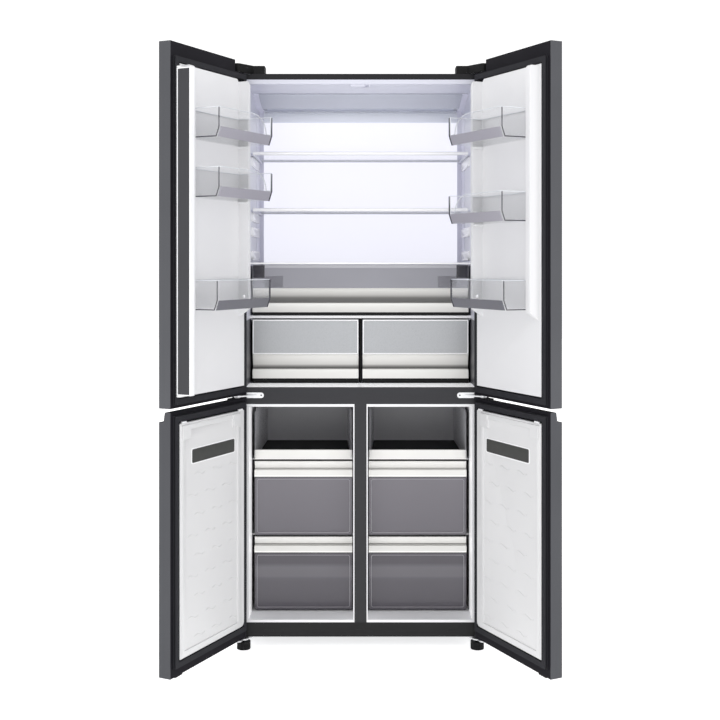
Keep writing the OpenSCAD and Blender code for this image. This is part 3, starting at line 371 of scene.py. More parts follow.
        "handle_bottom": shaded("Silky ABS of bottom_left_handle", handle_stops("d3d2cf", "8f8e8c"),
            "bottom_left_handle", (0.28, 0.38)),
        # Diffuser of the back light: opal acrylic that glows evenly, its tone drifting slowly
        "glow": glowing("Glowing opal acrylic", "7c7c82", ("eeeefa", "f6f6ff"),
            bpy.context.scene.refrigerator_sizes.panel_glow),
    }


MATERIALS = {}


def material(key):
    """A finish by its key; the whole set is made at the first call."""
    if not MATERIALS:
        MATERIALS.update(make_materials())
    return MATERIALS[key]


# Mesh building

def prism(bm, outline, low, high, place):
    """A closed prism over an outline of (a, b) points, put in the frame by place(a, b, c)."""
    rings = [[bm.verts.new(place(a, b, c)) for a, b in outline] for c in (low, high)]
    count = len(outline)
    bm.faces.new(rings[0])
    bm.faces.new(rings[1])
    for k in range(count):
        after = (k + 1) % count
        bm.faces.new((rings[0][k], rings[0][after], rings[1][after], rings[1][k]))


def slab(bm, low, high, place=put):
    """A box from one corner to the other."""
    outline = [(low[0], low[1]), (high[0], low[1]), (high[0], high[1]), (low[0], high[1])]
    prism(bm, outline, low[2], high[2], place)


def round_outline(a0, b0, a1, b1, radius):
    """Points of a rectangle with round corners."""
    centres = ((a1 - radius, b1 - radius), (a0 + radius, b1 - radius), (a0 + radius, b0 + radius),
               (a1 - radius, b0 + radius))
    steps = 6
    points = []
    for quarter, (a, b) in enumerate(centres):
        for k in range(steps + 1):
            turn = math.radians(90 * quarter + 90 * k / steps)
            points.append((a + radius * math.cos(turn), b + radius * math.sin(turn)))
    return points


def along_x(place=put):
    """Place function for profiles of (y, z) points swept along x."""
    return lambda a, b, c: place(c, a, b)


def facing(place=put):
    """Place function for outlines of (x, z) points swept along y."""
    return lambda a, b, c: place(a, c, b)


CREASE = math.radians(32)


def dress(name, mesh, finish, body, slot, *nodes, bevel=0.0):
    """Makes a piece from a finished mesh: it rides on a body and stands for the nodes given."""
    mesh.materials.clear()
    mesh.materials.append(material(finish))
    mesh.shade_smooth()
    mesh.set_sharp_from_angle(angle=CREASE)
    thing = bpy.data.objects.new(name, mesh)
    bpy.context.scene.collection.objects.link(thing)
    if bevel:
        edge = thing.modifiers.new("Soft edges", "BEVEL")
        edge.width = bevel / 1000
        edge.segments = 2
        edge.limit_method = "ANGLE"
        edge.angle_limit = CREASE
        edge.harden_normals = True
    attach(thing, body)
    if nodes:
        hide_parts(*nodes)
    return thing


def piece(name, bm, *look, bevel=0.0):
    """Turns a bmesh into a piece; look is its finish, body, slot and the nodes it stands for; the slot is not
    used.
    """
    bmesh.ops.recalc_face_normals(bm, faces=bm.faces)
    mesh = bpy.data.meshes.new(name)
    bm.to_mesh(mesh)
    bm.free()
    return dress(name, mesh, *look, bevel=bevel)


def box_piece(name, corners, *look, place=put, bevel=0.0):
    """A piece of one or more boxes, each from its low to its high corner."""
    bm = bmesh.new()
    for low, high in corners:
        slab(bm, low, high, place)
    return piece(name, bm, *look, bevel=bevel)


def swept_piece(name, outline, low, high, place, *look, bevel=0.0):
    """A piece of one prism."""
    bm = bmesh.new()
    prism(bm, outline, low, high, place)
    return piece(name, bm, *look, bevel=bevel)


def border_piece(name, corners, radii, wide, low, high, place, *look, bevel=0.0):
    """A flat frame of one width inside a rectangle with round corners."""
    a0, b0, a1, b1 = corners
    loops = (round_outline(*corners, radii[0]),
             round_outline(a0 + wide, b0 + wide, a1 - wide, b1 - wide, radii[1]))
    bm = bmesh.new()
    (o0, o1), (i0, i1) = ([[bm.verts.new(place(a, b, c)) for a, b in loop] for c in (low, high)]
                          for loop in loops)
    for k, after in zip(range(len(o0)), [*range(1, len(o0)), 0]):
        bm.faces.new((o0[k], o0[after], o1[after], o1[k]))
        bm.faces.new((i0[k], i1[k], i1[after], i0[after]))
        bm.faces.new((o0[k], i0[k], i0[after], o0[after]))
        bm.faces.new((o1[k], o1[after], i1[after], i1[k]))
    return piece(name, bm, *look, bevel=bevel)


def node_mesh(node):
    """A welded bmesh copy of a node."""
    bm = bmesh.new()
    bm.from_mesh(frame["nodes"][node].data)
    bmesh.ops.remove_doubles(bm, verts=bm.verts, dist=1e-6)
    return bm


def softened(node, finish, body, slot, width):
    """A copy of a node with its edges eased, which stands for the node."""
    bm = node_mesh(node)
    bmesh.ops.dissolve_limit(bm, angle_limit=math.radians(0.5), verts=bm.verts, edges=bm.edges)
    mesh = bpy.data.meshes.new(node + "_eased")
    bm.to_mesh(mesh)
    bm.free()
    return dress(node + "_eased", mesh, finish, body, slot, node, bevel=width)


# Bins

# Height of the band, and how far its foot leans back
BIN_FOOT = 28.0
BIN_LEAN = 10.0
# Distances of the bins from the door's hinge edge and from its free edge
BIN_START = 62.5
BIN_END = 55.5
BIN_CORNER = 6.0
# The wall rises in an arc of this width, this far from the hinge end
ARC_START = 33.0
ARC_WIDE = 74.0
# Of each level: depth, drop, whether the wall has the arc, height of the knob, finish of the band
BIN_LEVELS = {
    "top": (118.0, 0.0, True, 27, "bin_band"),
    "middle": (118.0, 0.0, True, 27, "bin_band"),
    "bottom": (112.0, 6.0, False, 36, "bin_band_dark"),
}
# Place of the knob along the door, and the radius and depth of each of its rings
KNOB_U = 206
KNOB_RINGS = ((4.5, 0.0), (4.5, 3.0), (3.9, 4.0), (2.4, 4.7), (0.6, 5.0))


def bin_loop(low, high, inset, z, arched):
    """Outline of a bin at a height over its base, as (u, v, top height) points.

    It runs from the back corner at the hinge round the front to the other back corner. The front
    leans in below the band's top, and the wall falls away in an arc near the hinge.
    """
    tall = high.z - low.z
    front = high.y - inset - BIN_LEAN * max(0.0, 1 - z / BIN_FOOT)
    u0, u1, radius = low.x + inset, high.x - inset, BIN_CORNER - inset / 2

    def corner(u, first):
        for k in range(5):
            turn = math.radians(first - 22.5 * k)
            points.append((u + radius * math.cos(turn), front - radius + radius * math.sin(turn), tall))

    points = [(u0, low.y + inset, tall)]
    corner(u0 + radius, 180)
    arc_u = low.x + ARC_START
    spots = [low.x + BIN_CORNER + 2, arc_u - 2]
    spots += [arc_u + ARC_WIDE * (1 - math.cos(math.radians(a))) for a in range(0, 91, 9)]
    for u in spots:
        rise = min(1.0, max(0.0, (u - arc_u) / ARC_WIDE)) if arched else 1.0
        points.append((u, front, BIN_FOOT + 2 + (tall - BIN_FOOT - 2) * math.sqrt(1 - (1 - rise) ** 2)))
    corner(u1 - radius, 90)
    points.append((u1, low.y + inset, tall))
    return points


def ribbon(bm, levels, closed):
    """A closed wall through levels of (outer points, inner points), all of one length."""
    outer = [[bm.verts.new(p) for p in level[0]] for level in levels]
    inner = [[bm.verts.new(p) for p in level[1]] for level in levels]
    count = len(outer[0])
    for k in range(count if closed else count - 1):
        after = (k + 1) % count
        for low, high in zip(range(len(levels) - 1), range(1, len(levels))):
            bm.faces.new((outer[low][k], outer[low][after], outer[high][after], outer[high][k]))
            bm.faces.new((inner[low][after], inner[low][k], inner[high][k], inner[high][after]))
        bm.faces.new((outer[0][after], outer[0][k], inner[0][k], inner[0][after]))
        bm.faces.new((outer[-1][k], outer[-1][after], inner[-1][after], inner[-1][k]))
    if not closed:
        for k in (0, count - 1):
            bm.faces.new([level[k] for level in outer] + [level[k] for level in reversed(inner)])


def build_bin(node, place, wall, level):
    """One bin: clear shell, opaque band, light rim, painted dark edges and the knob."""
    depth, drop, arched, knob_high, band_finish = BIN_LEVELS[level]
    base, top_edge = (corner.z - drop for corner in node_box(node))
    low = Vector((BIN_START, LINER_FACE + 1, base))
    high = Vector((DOOR_WIDE - BIN_END, LINER_FACE + 1 + depth, top_edge))
    base = low.z
    look = node, "clear_plastic", node

    def at(points, z, shift=0.0):
        """Points of a loop at one height, or at each point's own top when z is None."""
        return [place(u, v, base + (top + shift if z is None else z)) for u, v, top in points]

    def seated(below, above):
        """The shell's lower edge: on the floor along the bin's ends, over the band elsewhere."""
        return [place(*(below if k in sides else above)[k][:2],
                      base + (wall if k in sides else BIN_FOOT) + 0.1) for k in range(last + 1)]

    foot, foot_in, full, full_in = (
        bin_loop(low, high, inset, z, arched) for z in (0, BIN_FOOT) for inset in (0, wall))
    last = len(full) - 1
    sides = {0, 1, 2, last, last - 1, last - 2}
    seam, rim_high = BIN_FOOT + 0.6, 1.8
    shell = bmesh.new()
    ribbon(shell, [(seated(foot, full), seated(foot_in, full_in)), (at(full, seam), at(full_in, seam)),
                   (at(full, None, -rim_high), at(full_in, None, -rim_high))], closed=True)
    prism(shell, [(u, v) for u, v, top in foot], base, base + wall, place)
    piece(node + "_shell", shell, "clear_plastic", *look)

    rim = bmesh.new()
    outer, inner = (bin_loop(low, high, inset, BIN_FOOT, arched) for inset in (0, wall + 0.4))
    ribbon(rim, [(at(outer, None, -rim_high), at(inner, None, -rim_high)),
                 (at(outer, None), at(inner, None))], closed=True)
    piece(node + "_rim", rim, "bin_rim", *look, bevel=0.5)

    band = bmesh.new()
    reach = slice(3, last - 2)
    ribbon(band, [(at(foot, 0)[reach], at(foot_in, 0)[reach]),
                  (at(full, BIN_FOOT)[reach], at(full_in, BIN_FOOT)[reach])], closed=False)
    piece(node + "_band", band, band_finish, *look, bevel=0.5)

    edges = bmesh.new()
    slab(edges, (high.x - 1.2, low.y + 2, base),
         (high.x + 0.3, high.y - BIN_LEAN - BIN_CORNER, base + 3), place)
    # Painted shade on the wall's ends: a line near the free edge, and the corner itself near the hinge
    for u0, u1, back, front in ((high.x - 1.2, high.x + 0.3, 8.0, 5.5),
                                (low.x - 0.3, low.x + BIN_CORNER, 2.2, -0.3)):
        lean_back, lean_front = high.y - BIN_LEAN - back, high.y - BIN_LEAN - front
        prism(edges, [(lean_back, 0), (lean_front, 0), (high.y - front, BIN_FOOT),
                      (high.y - front, high.z - base - 2), (high.y - back, high.z - base - 2),
                      (high.y - back, BIN_FOOT)], u0, u1, lambda v, z, u: place(u, v, base + z))
    piece(node + "_edges", edges, "edge_dark", *look)

    knob = bmesh.new()
    rows = []
    for radius, deep in KNOB_RINGS:
        rows.append([knob.verts.new(place(
            KNOB_U + radius * math.cos(math.radians(a)), high.y - wall - deep,
            base + knob_high + radius * math.sin(math.radians(a)))) for a in range(0, 360, 15)])
    for below, above in zip(rows, rows[1:]):
        for k in range(len(below)):
            after = (k + 1) % len(below)
            knob.faces.new((below[k], below[after], above[after], above[k]))
    knob.faces.new(rows[0])
    knob.faces.new(rows[-1])
    piece(node + "_knob", knob, "white_plastic", *look)


# Node trees for what repeats

def new_tree(name, **lengths):
    """An empty geometry tree with named inputs: lengths with their defaults, turn and material."""
    tree = bpy.data.node_groups.new(name, "GeometryNodeTree")
    tree.interface.new_socket("Geometry", in_out="INPUT", socket_type="NodeSocketGeometry")
    for label, default in lengths.items():
        socket = tree.interface.new_socket(label, in_out="INPUT", socket_type="NodeSocketFloat")
        socket.default_value = default
    tree.interface.new_socket("Turn", in_out="INPUT", socket_type="NodeSocketRotation")
    tree.interface.new_socket("Material", in_out="INPUT", socket_type="NodeSocketMaterial")
    tree.interface.new_socket("Geometry", in_out="OUTPUT", socket_type="NodeSocketGeometry")
    return tree, add(tree, "NodeGroupInput")


def close_tree(tree, start, instance):
    """Spreads an instance over the points, and ends the tree in Realize Instances and Set Material."""
    spread = add(tree, "GeometryNodeInstanceOnPoints", {
        "Points": start.outputs["Geometry"], "Instance": instance, "Rotation": start.outputs["Turn"]})
    real = add(tree, "GeometryNodeRealizeInstances", {"Geometry": spread.outputs["Instances"]})
    done = add(tree, "GeometryNodeSetMaterial", {
        "Geometry": real.outputs["Geometry"], "Material": start.outputs["Material"]})
    add(tree, "NodeGroupOutput", {"Geometry": done.outputs["Geometry"]})
    return tree


def rib_tree(name):
    """Rounded ribs standing on loose points: a pill outline, filled and raised."""
    tree, start = new_tree(name, Length=0.28, Width=0.03, Height=0.005)
    outline = add(tree, "GeometryNodeCurvePrimitiveQuadrilateral", {
        "Width": start.outputs["Length"], "Height": start.outputs["Width"]}, mode="RECTANGLE")
    half = add(tree, "ShaderNodeMath", {0: start.outputs["Width"], 1: 0.499}, operation="MULTIPLY")
    pill = add(tree, "GeometryNodeFilletCurve", {
        "Curve": outline.outputs[0], "Radius": half.outputs[0], "Limit Radius": True, "Count": 8},
        mode="POLY")
    face = add(tree, "GeometryNodeFillCurve", {"Curve": pill.outputs[0]}, mode="NGONS")
    raised = add(tree, "GeometryNodeExtrudeMesh", {
        "Mesh": face.outputs[0], "Offset Scale": start.outputs["Height"], "Individual": False})
    crown = add(tree, "GeometryNodeScaleElements", {
        "Geometry": raised.outputs["Mesh"], "Selection": raised.outputs["Top"], "Scale": 0.93})
    flipped = add(tree, "GeometryNodeFlipFaces", {"Mesh": face.outputs[0]})
    both = add(tree, "GeometryNodeJoinGeometry")
    tree.links.new(crown.outputs[0], both.inputs[0])
    tree.links.new(flipped.outputs[0], both.inputs[0])
    welded = add(tree, "GeometryNodeMergeByDistance", {"Geometry": both.outputs[0], "Distance": 0.00001})
    return close_tree(tree, start, welded.outputs[0])


def wave_tree(name):
    """A low rounded bead along a sine line, one for each loose point."""
    tree, start = new_tree(name, Length=0.25, Swing=0.012, Bead=0.002)
    reach = add(tree, "ShaderNodeCombineXYZ", {"X": start.outputs["Length"]})
    line = add(tree, "GeometryNodeCurvePrimitiveLine", {"End": reach.outputs[0]})
    fine = add(tree, "GeometryNodeResampleCurve", {"Curve": line.outputs[0], "Count": 40})
    along = add(tree, "GeometryNodeSplineParameter").outputs["Factor"]
    phase = add(tree, "ShaderNodeMath", {0: along, 1: math.tau}, operation="MULTIPLY")
    sine = add(tree, "ShaderNodeMath", {0: phase.outputs[0]}, operation="SINE")
    swing = add(tree, "ShaderNodeMath", {0: sine.outputs[0], 1: start.outputs["Swing"]}, operation="MULTIPLY")
    shift = add(tree, "ShaderNodeCombineXYZ", {"Y": swing.outputs[0]})
    bent = add(tree, "GeometryNodeSetPosition", {"Geometry": fine.outputs[0], "Offset": shift.outputs[0]})
    profile = add(tree, "GeometryNodeCurvePrimitiveCircle", {
        "Resolution": 8, "Radius": start.outputs["Bead"]})
    bead = add(tree, "GeometryNodeCurveToMesh", {
        "Curve": bent.outputs[0], "Profile Curve": profile.outputs[0], "Fill Caps": True})
    return close_tree(tree, start, bead.outputs[0])


TREES = {"ribs": rib_tree, "waves": wave_tree}


def grown(name, kind, points, finish, body, slot, **inputs):
    """Runs a node tree on loose points in metres and bakes the result to one plain piece."""
    tree = bpy.data.node_groups.get(kind) or TREES[kind](kind)
    seeds = bpy.data.meshes.new(name + "_points")
    seeds.from_pydata([tuple(p) for p in points], [], [])
    host = bpy.data.objects.new(name + "_host", seeds)
    bpy.context.scene.collection.objects.link(host)
    modifier = host.modifiers.new("Grow", "NODES")
    modifier.node_group = tree
    ids = {item.name: item.identifier for item in tree.interface.items_tree
           if item.item_type == "SOCKET" and item.in_out == "INPUT"}
    inputs["Material"] = material(finish)
    for label, value in inputs.items():
        modifier[ids[label]] = value
    graph = bpy.context.evaluated_depsgraph_get()
    mesh = bpy.data.meshes.new_from_object(host.evaluated_get(graph))
    mesh.name = name
    bpy.data.objects.remove(host)
    return dress(name, mesh, finish, body, slot)


# Studio, in metres

# The photograph's camera: distance from the cabinet's front plane, height, lens and sensor
# in millimetres, and shift
CAMERA_AWAY = 3.52
CAMERA_HIGH = 1.201
LENS = 56.45
SENSOR = 36.0
SHIFT = (-0.0007, -0.136)
LAMP_Y = FRONT / 1000 + 0.375
# Of each light: place, aim, width, height and power
LIGHTS = {
    "lamp_upward": ((0, LAMP_Y - 0.16, 1.60), (0, LAMP_Y - 0.16, 1.75), 0.5, 0.3, 0.145),
    "lamp_downward": ((0, LAMP_Y, 1.718), (0, LAMP_Y + 0.03, 1.2), 0.6, 0.07, 0.13),
    "key_softbox": ((-1.2, -4.2, 3.4), (0, 0, 0.9), 2.6, 2.6, 12),
    "fill_softbox": ((2.2, -4.0, 2.0), (0, 0, 0.8), 2.2, 2.2, 8),
    "low_softbox": ((0.0, -3.6, 0.5), (0, 0, 0.6), 1.6, 1.6, 3),
}
ROOM_LIGHT = 1.15
FLOOR_REACH = 14.0


def build_stage():
    """Pale floor, soft white light, and the camera of the photograph."""
    scene = bpy.context.scene
    scene.view_settings.view_transform = "Standard"
    floor = bpy.data.meshes.new("studio_floor")
    corners = ((-1, -1), (1, -1), (1, 1), (-1, 1))
    floor.from_pydata([(x * FLOOR_REACH, y * FLOOR_REACH, 0) for x, y in corners], [], [(0, 1, 2, 3)])
    ground = bpy.data.objects.new("studio_floor", floor)
    scene.collection.objects.link(ground)
    # Uncoated paper: white and dull, with fibres too fine to show
    paper, tree, shader, where = blank("Matt studio paper", Roughness=0.9, Emission_Color=linear("ffffff"),
                                       Emission_Strength=0.6)
    drifting(tree, where, ("fafafa", "ffffff"), shader.inputs["Base Color"], Scale=300.0)
    floor.materials.append(paper)

    world = bpy.data.worlds.new("Studio")
    world.use_nodes = True
    world.node_tree.nodes["Background"].inputs["Color"].default_value = (1, 1, 1, 1)
    world.node_tree.nodes["Background"].inputs["Strength"].default_value = ROOM_LIGHT
    scene.world = world

    for name, (place, aim, wide, tall, power) in LIGHTS.items():
        lamp = bpy.data.lights.new(name, "AREA")
        lamp.shape = "RECTANGLE"
        lamp.size = wide
        lamp.size_y = tall
        lamp.energy = power
        holder = bpy.data.objects.new(name, lamp)
        holder.location = place
        holder.visible_camera = False
        holder.rotation_euler = (Vector(aim) - Vector(place)).to_track_quat("-Z", "Y").to_euler()
        scene.collection.objects.link(holder)

    lens = bpy.data.cameras.new("photograph_camera")
    lens.lens = LENS
    lens.sensor_width = SENSOR
    lens.shift_x, lens.shift_y = SHIFT
    camera = bpy.data.objects.new("photograph_camera", lens)
    camera.location = (0, FRONT / 1000 - CAMERA_AWAY, CAMERA_HIGH)
    camera.rotation_euler = (math.radians(90), 0, 0)
    scene.collection.objects.link(camera)
    scene.camera = camera


# Finishes of the nodes that stay

NODE_FINISH = {
    "outer_case": "case_metal", "rear_panels": "rear_metal", "cabinet_foam": "foam",
    "fridge_liner": "inner_liner", "freezer_liners": "white_liner", "front_rails": "dark_metal",
    "hinge_brackets": "hinge_steel", "hinge_covers": "black_plastic", "air_ducts": "duct_plastic",
    "compressor": "compressor_steel", "condenser": "condenser_metal", "machine_base": "deck_steel",
    "condenser_fan": "black_plastic", "rear_rollers": "black_plastic", "flipper_housing": "white_plastic",
    "flipper_face": "flipper_metal", "lamp_covers": "lamp_housing", "crisper_front": "mould_crisper",
}
# For the other nodes: how a name begins and ends, and its finish; the first that fits counts
FINISH_RULES = (
    ("foot_", "", "black_plastic"), ("tray_", "", "tray_plastic"), ("", "_shelf", "glass"),
    ("half_", "_front", "mould_half"), ("middle_", "_handle", "handle_middle"),
    ("bottom_", "_handle", "handle_bottom"), ("lower_", "_skin", "low_door_shaded_metal"),
    ("lower_", "_liner", "low_door_liner"), ("", "_liner", "door_liner"), ("", "_skin", "door_metal"),
    ("", "_frame", "door_frame"), ("", "_gasket", "gasket_rubber"), ("bin_", "", "clear_plastic"),
    ("half_", "", "half_panel"), ("crisper_", "", "grey_clear"), ("bottom_", "", "smoky_deep"),
    ("", "", "smoky_plastic"),
)


def finish_of(node):
    """The finish key of a node."""
    return NODE_FINISH.get(node) or next(
        key for start, end, key in FINISH_RULES if node.startswith(start) and node.endswith(end))


def eased_nodes():
    """Every node that gets eased edges: its body, slot and radius in millimetres."""
    table = {
        "fridge_liner": ("cabinet", "white_liner", 1.5),
        "hinge_covers": ("cabinet", "black_plastic", 2.5),
        "flipper_housing": ("flipper", "white_plastic", 1.6),
        "crisper_front": ("crisper_drawer", "light_moulding", 1.5),
    }
    for side in SIDES:
        for level in ("upper", "lower"):
            table[f"{level}_{side}_liner"] = (f"{level}_{side}_door", "white_liner", 2.5)
            table[f"{level}_{side}_frame"] = (f"{level}_{side}_door", "door_frame", 1.0)
        table[f"half_{side}_front"] = (f"half_{side}_drawer", "light_moulding", 1.5)
        table[f"tray_{side}"] = (f"tray_{side}", "tray_plastic", 1.2)
        for level in ("middle", "bottom"):
            table[f"{level}_{side}_handle"] = (f"{level}_{side}_drawer", "light_moulding", 1.0)
            table[f"{level}_{side}_tub"] = (f"{level}_{side}_drawer", "smoky_plastic", 0.8)
    return table


# Sizes and colours that a user may change

def length(name, text, default):
    """A length property in metres."""
    return FloatProperty(name=name, description=text, default=default, unit="LENGTH")


def tone(name, text, colour):
    """A colour property whose default is an sRGB hex value."""
    return FloatVectorProperty(name=name, description=text, default=linear(colour)[:3], subtype="COLOR",
                               min=0.0, max=1.0)


class REFRIGERATOR_PG_sizes(bpy.types.PropertyGroup):
    panel_glow: FloatProperty(
        name="Panel glow", description="Strength of the lit back panel's own light", default=0.87, min=0.0)
    glass_thick: length("Glass thickness", "Thickness of the shelf glass", 0.004)
    trim_high: length("Trim height", "Height of the shelves' front trim", 0.011)
    rib_high: length("Rib height", "Height of the embossed shelf ribs", 0.032)
    rib_proud: length("Rib depth", "How far the shelf ribs stand off the wall", 0.005)
    bin_wall: length("Bin wall", "Wall of the door bins", 0.0025)


class REFRIGERATOR_PG_colours(bpy.types.PropertyGroup):
    door: tone("Upper doors", "Deeper tone of the upper doors' brushed steel", "4b4c50")
    door_light: tone("Upper doors, light", "Lighter tone of the upper doors' brushed steel", "525357")
    # Painted shade: the lower doors get deeper tones of the same steel, against the bright floor's light
    low_door: tone("Lower doors", "Deeper tone of the lower doors' brushed steel", "414246")
    low_door_light: tone("Lower doors, light", "Lighter tone of the lower doors' brushed steel", "48494d")
    case: tone("Case", "Deeper tone of the painted case", "19191c")
    case_light: tone("Case, light", "Lighter tone of the painted case", "1f1f22")
    # Painted shade: the upper door liners' tones are a little greyer than the white liner's
    liner: tone("Upper door liners", "Deeper tone of the upper doors' liners", "d8d8da")
    liner_light: tone("Upper door liners, light", "Lighter tone of the upper doors' liners", "dddddf")


class REFRIGERATOR_OT_stage(bpy.types.Operator):
    """Build the studio: floor, light and the camera of the photograph"""
    bl_idname = "refrigerator.stage"
    bl_label = "Studio and Camera"

    def execute(self, context):
        build_stage()
        return {"FINISHED"}


class REFRIGERATOR_OT_finishes(bpy.types.Operator):
    """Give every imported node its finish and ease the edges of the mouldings"""
    bl_idname = "refrigerator.finishes"
    bl_label = "Finishes and Eased Edges"

    def execute(self, context):
        for node, thing in frame["nodes"].items():
            for holder in thing.material_slots:
                holder.material = material(finish_of(node))
        for node, (body, slot, radius) in eased_nodes().items():
            softened(node, finish_of(node), body, slot, radius)
        return {"FINISHED"}


class REFRIGERATOR_OT_lamp(bpy.types.Operator):
    """Build the ceiling lamp housing, its lens, the glowing fillers of painted light at its ends, and the lit
    back panel
    """
    bl_idname = "refrigerator.lamp"
    bl_label = "Lamp and Lit Panel"

    def execute(self, context):
        low, high = node_box("lamp_covers")
        y0, y1 = low.y - FRONT, high.y - FRONT
        top = high.z
        wide = WALL - 20
        look = "cabinet", "lamp_diffuser", "lamp_covers"
        # The housing slopes down from the ceiling's front edge to the lens, then runs level to the back
        swept_piece("ceiling_lamp_housing", [
            (y0, top), (y0, top - 3), (y0 + 4, top - 4.5), (319, top - 28.5), (326, top - 31),
            (338, top - 31), (338, top - 25), (412, top - 25), (412, top - 31), (y1, top - 31), (y1, top),
        ], -wide, wide, along_x(), "lamp_housing", *look, bevel=0.8)
        box_piece("ceiling_lamp_lens", [((-wide + 14, 339, top - 28.5), (wide - 14, 411, top - 25))],
                  "lens", *look, bevel=0.6)
        swept_piece("lit_back_panel", round_outline(low.x, low.z, high.x, top - 65, 5), y1 - 3, y1, facing(),
                    "glow", *look, bevel=0.6)
        # Painted light: faintly glowing fillers at the housing's ends and in the corners beside the lit
        # panel, over recesses that would fall into shade
        ends = bmesh.new()
        for sign in SIDES.values():
            prism(ends, [(y0 + 3, top), (y0 + 5, top - 2.5), (319, top - 26), (326, top - 28),
                         (y1 - 4, top - 28), (y1 - 4, top)],
                  sign * (wide + 0.5), sign * (WALL - 0.2), along_x())
            slab(ends, (sign * (high.x - 1), y1 - 6, low.z + 2), (sign * (WALL - 0.2), y1 - 4, top - 27))
        piece("lamp_end_light_fillers", ends, "wall_shade_and_glow", "cabinet", "white_liner")
        return {"FINISHED"}


class REFRIGERATOR_OT_shelves(bpy.types.Operator):
    """Build the two glass shelves with their trims"""
    bl_idname = "refrigerator.shelves"
    bl_label = "Glass Shelves"

    def execute(self, context):
        sizes = context.scene.refrigerator_sizes
        thick, trim = sizes.glass_thick * 1000, sizes.trim_high * 1000
        for node in ("upper_shelf", "middle_shelf"):
            low, high = node_box(node)
            y0, y1 = low.y - FRONT, high.y - FRONT
            top = high.z - 3
            under = top - thick
            swept_piece(node + "_glass", round_outline(low.x + 1, y0 + 7, high.x - 1, y1 - 1, 3), under, top,
                        put, "glass", node, "shelf_glass", node, bevel=0.5)
            middle = top + 1 - trim / 2
            arc = [(y0 + trim / 2 - trim / 2 * math.cos(math.radians(a)),
                    middle + trim / 2 * math.sin(math.radians(a))) for a in range(90, -91, -15)]
            swept_piece(node + "_front_trim", arc + [
                (y0 + 12, top + 1 - trim), (y0 + 12, under - 0.2), (y0 + 8, under - 0.2),
                (y0 + 8, top + 0.1), (y0 + 13, top + 0.1), (y0 + 13, top + 1),
            ], low.x, high.x, along_x(), "trim_light", node, "white_plastic", node)
            swept_piece(node + "_rear_trim", [
                (y1 - 9, under - 2), (y1, under - 2), (y1, top + 3), (y1 - 3, top + 3), (y1 - 9, top + 0.5),
            ], low.x, high.x, along_x(), "trim_grey", node, "white_plastic", node, bevel=0.5)
        return {"FINISHED"}


# Thickness of the plate over the two half-width drawers
PLATE_THICK = 9.0


class REFRIGERATOR_OT_cover(bpy.types.Operator):
    """Build the glass cover over the wide drawer, the plate below it, a glowing sheet of painted light on the
    sill, and the partition
    """
    bl_idname = "refrigerator.cover"
    bl_label = "Drawer Cover and Plate"

    def execute(self, context):
        thick = context.scene.refrigerator_sizes.glass_thick * 1000
        low, high = node_box("crisper_shelf")
        x0, x1 = low.x + 0.3, high.x - 0.3
        y0, y1 = low.y - FRONT, high.y - FRONT
        top = high.z - 1
        under = top - thick
        plate_top = node_box("crisper_tub")[0].z - 0.4
        plate_low = plate_top - PLATE_THICK
        look = "cabinet", "white_plastic", "crisper_shelf"
        swept_piece("drawer_cover_glass", round_outline(low.x + 0.5, y0 + 8, high.x - 0.5, y1, 2), under, top,
                    put, "glass", "cabinet", "shelf_glass", "crisper_shelf", bevel=0.5)
        swept_piece("drawer_cover_trim", [
            (y0, under - 1), (y0, top), (y0 + 1, top + 1), (y0 + 10, top + 1), (y0 + 10, top), (y0 + 7, top),
            (y0 + 7, under), (y0 + 10, under), (y0 + 10, under - 1),
        ], x0, x1, along_x(), "trim_light", *look, bevel=0.3)
        swept_piece("lower_drawers_plate", [
            (y0, plate_low), (y0, plate_top - 1), (y0 + 1, plate_top), (y0 + 9, plate_top),
            (y0 + 9, plate_top - 1.5), (y1, plate_top - 1.5), (y1, plate_low),
        ], x0, x1, along_x(), "plate_grey", *look, bevel=0.5)
        # Painted light: a thin glowing white sheet over the front of the fridge's floor
        box_piece("fridge_sill_glow", [((x0, 3.2, low.z - 0.02), (x1, y0 - 4, low.z + 0.3))],
                  "lit_white", "cabinet", "white_liner")
        box_piece("lower_drawers_partition", [((-2.5, y0 + 6, low.z), (2.5, y1, plate_low + 0.1))],
                  "black_plastic", *look, bevel=0.8)
        return {"FINISHED"}


# Heights of the embossed ribs, and front, lowest and highest edge and finish of each sheet of painted shade
# on the walls
RIB_LEVELS = (1529, 1349, 1300, 1222)
SHADE_SHEETS = {"crisper": (190, 1031, 1193, "shade_sheet_grey"), "lower": (4, 813, 1018, "shade_sheet_dark")}


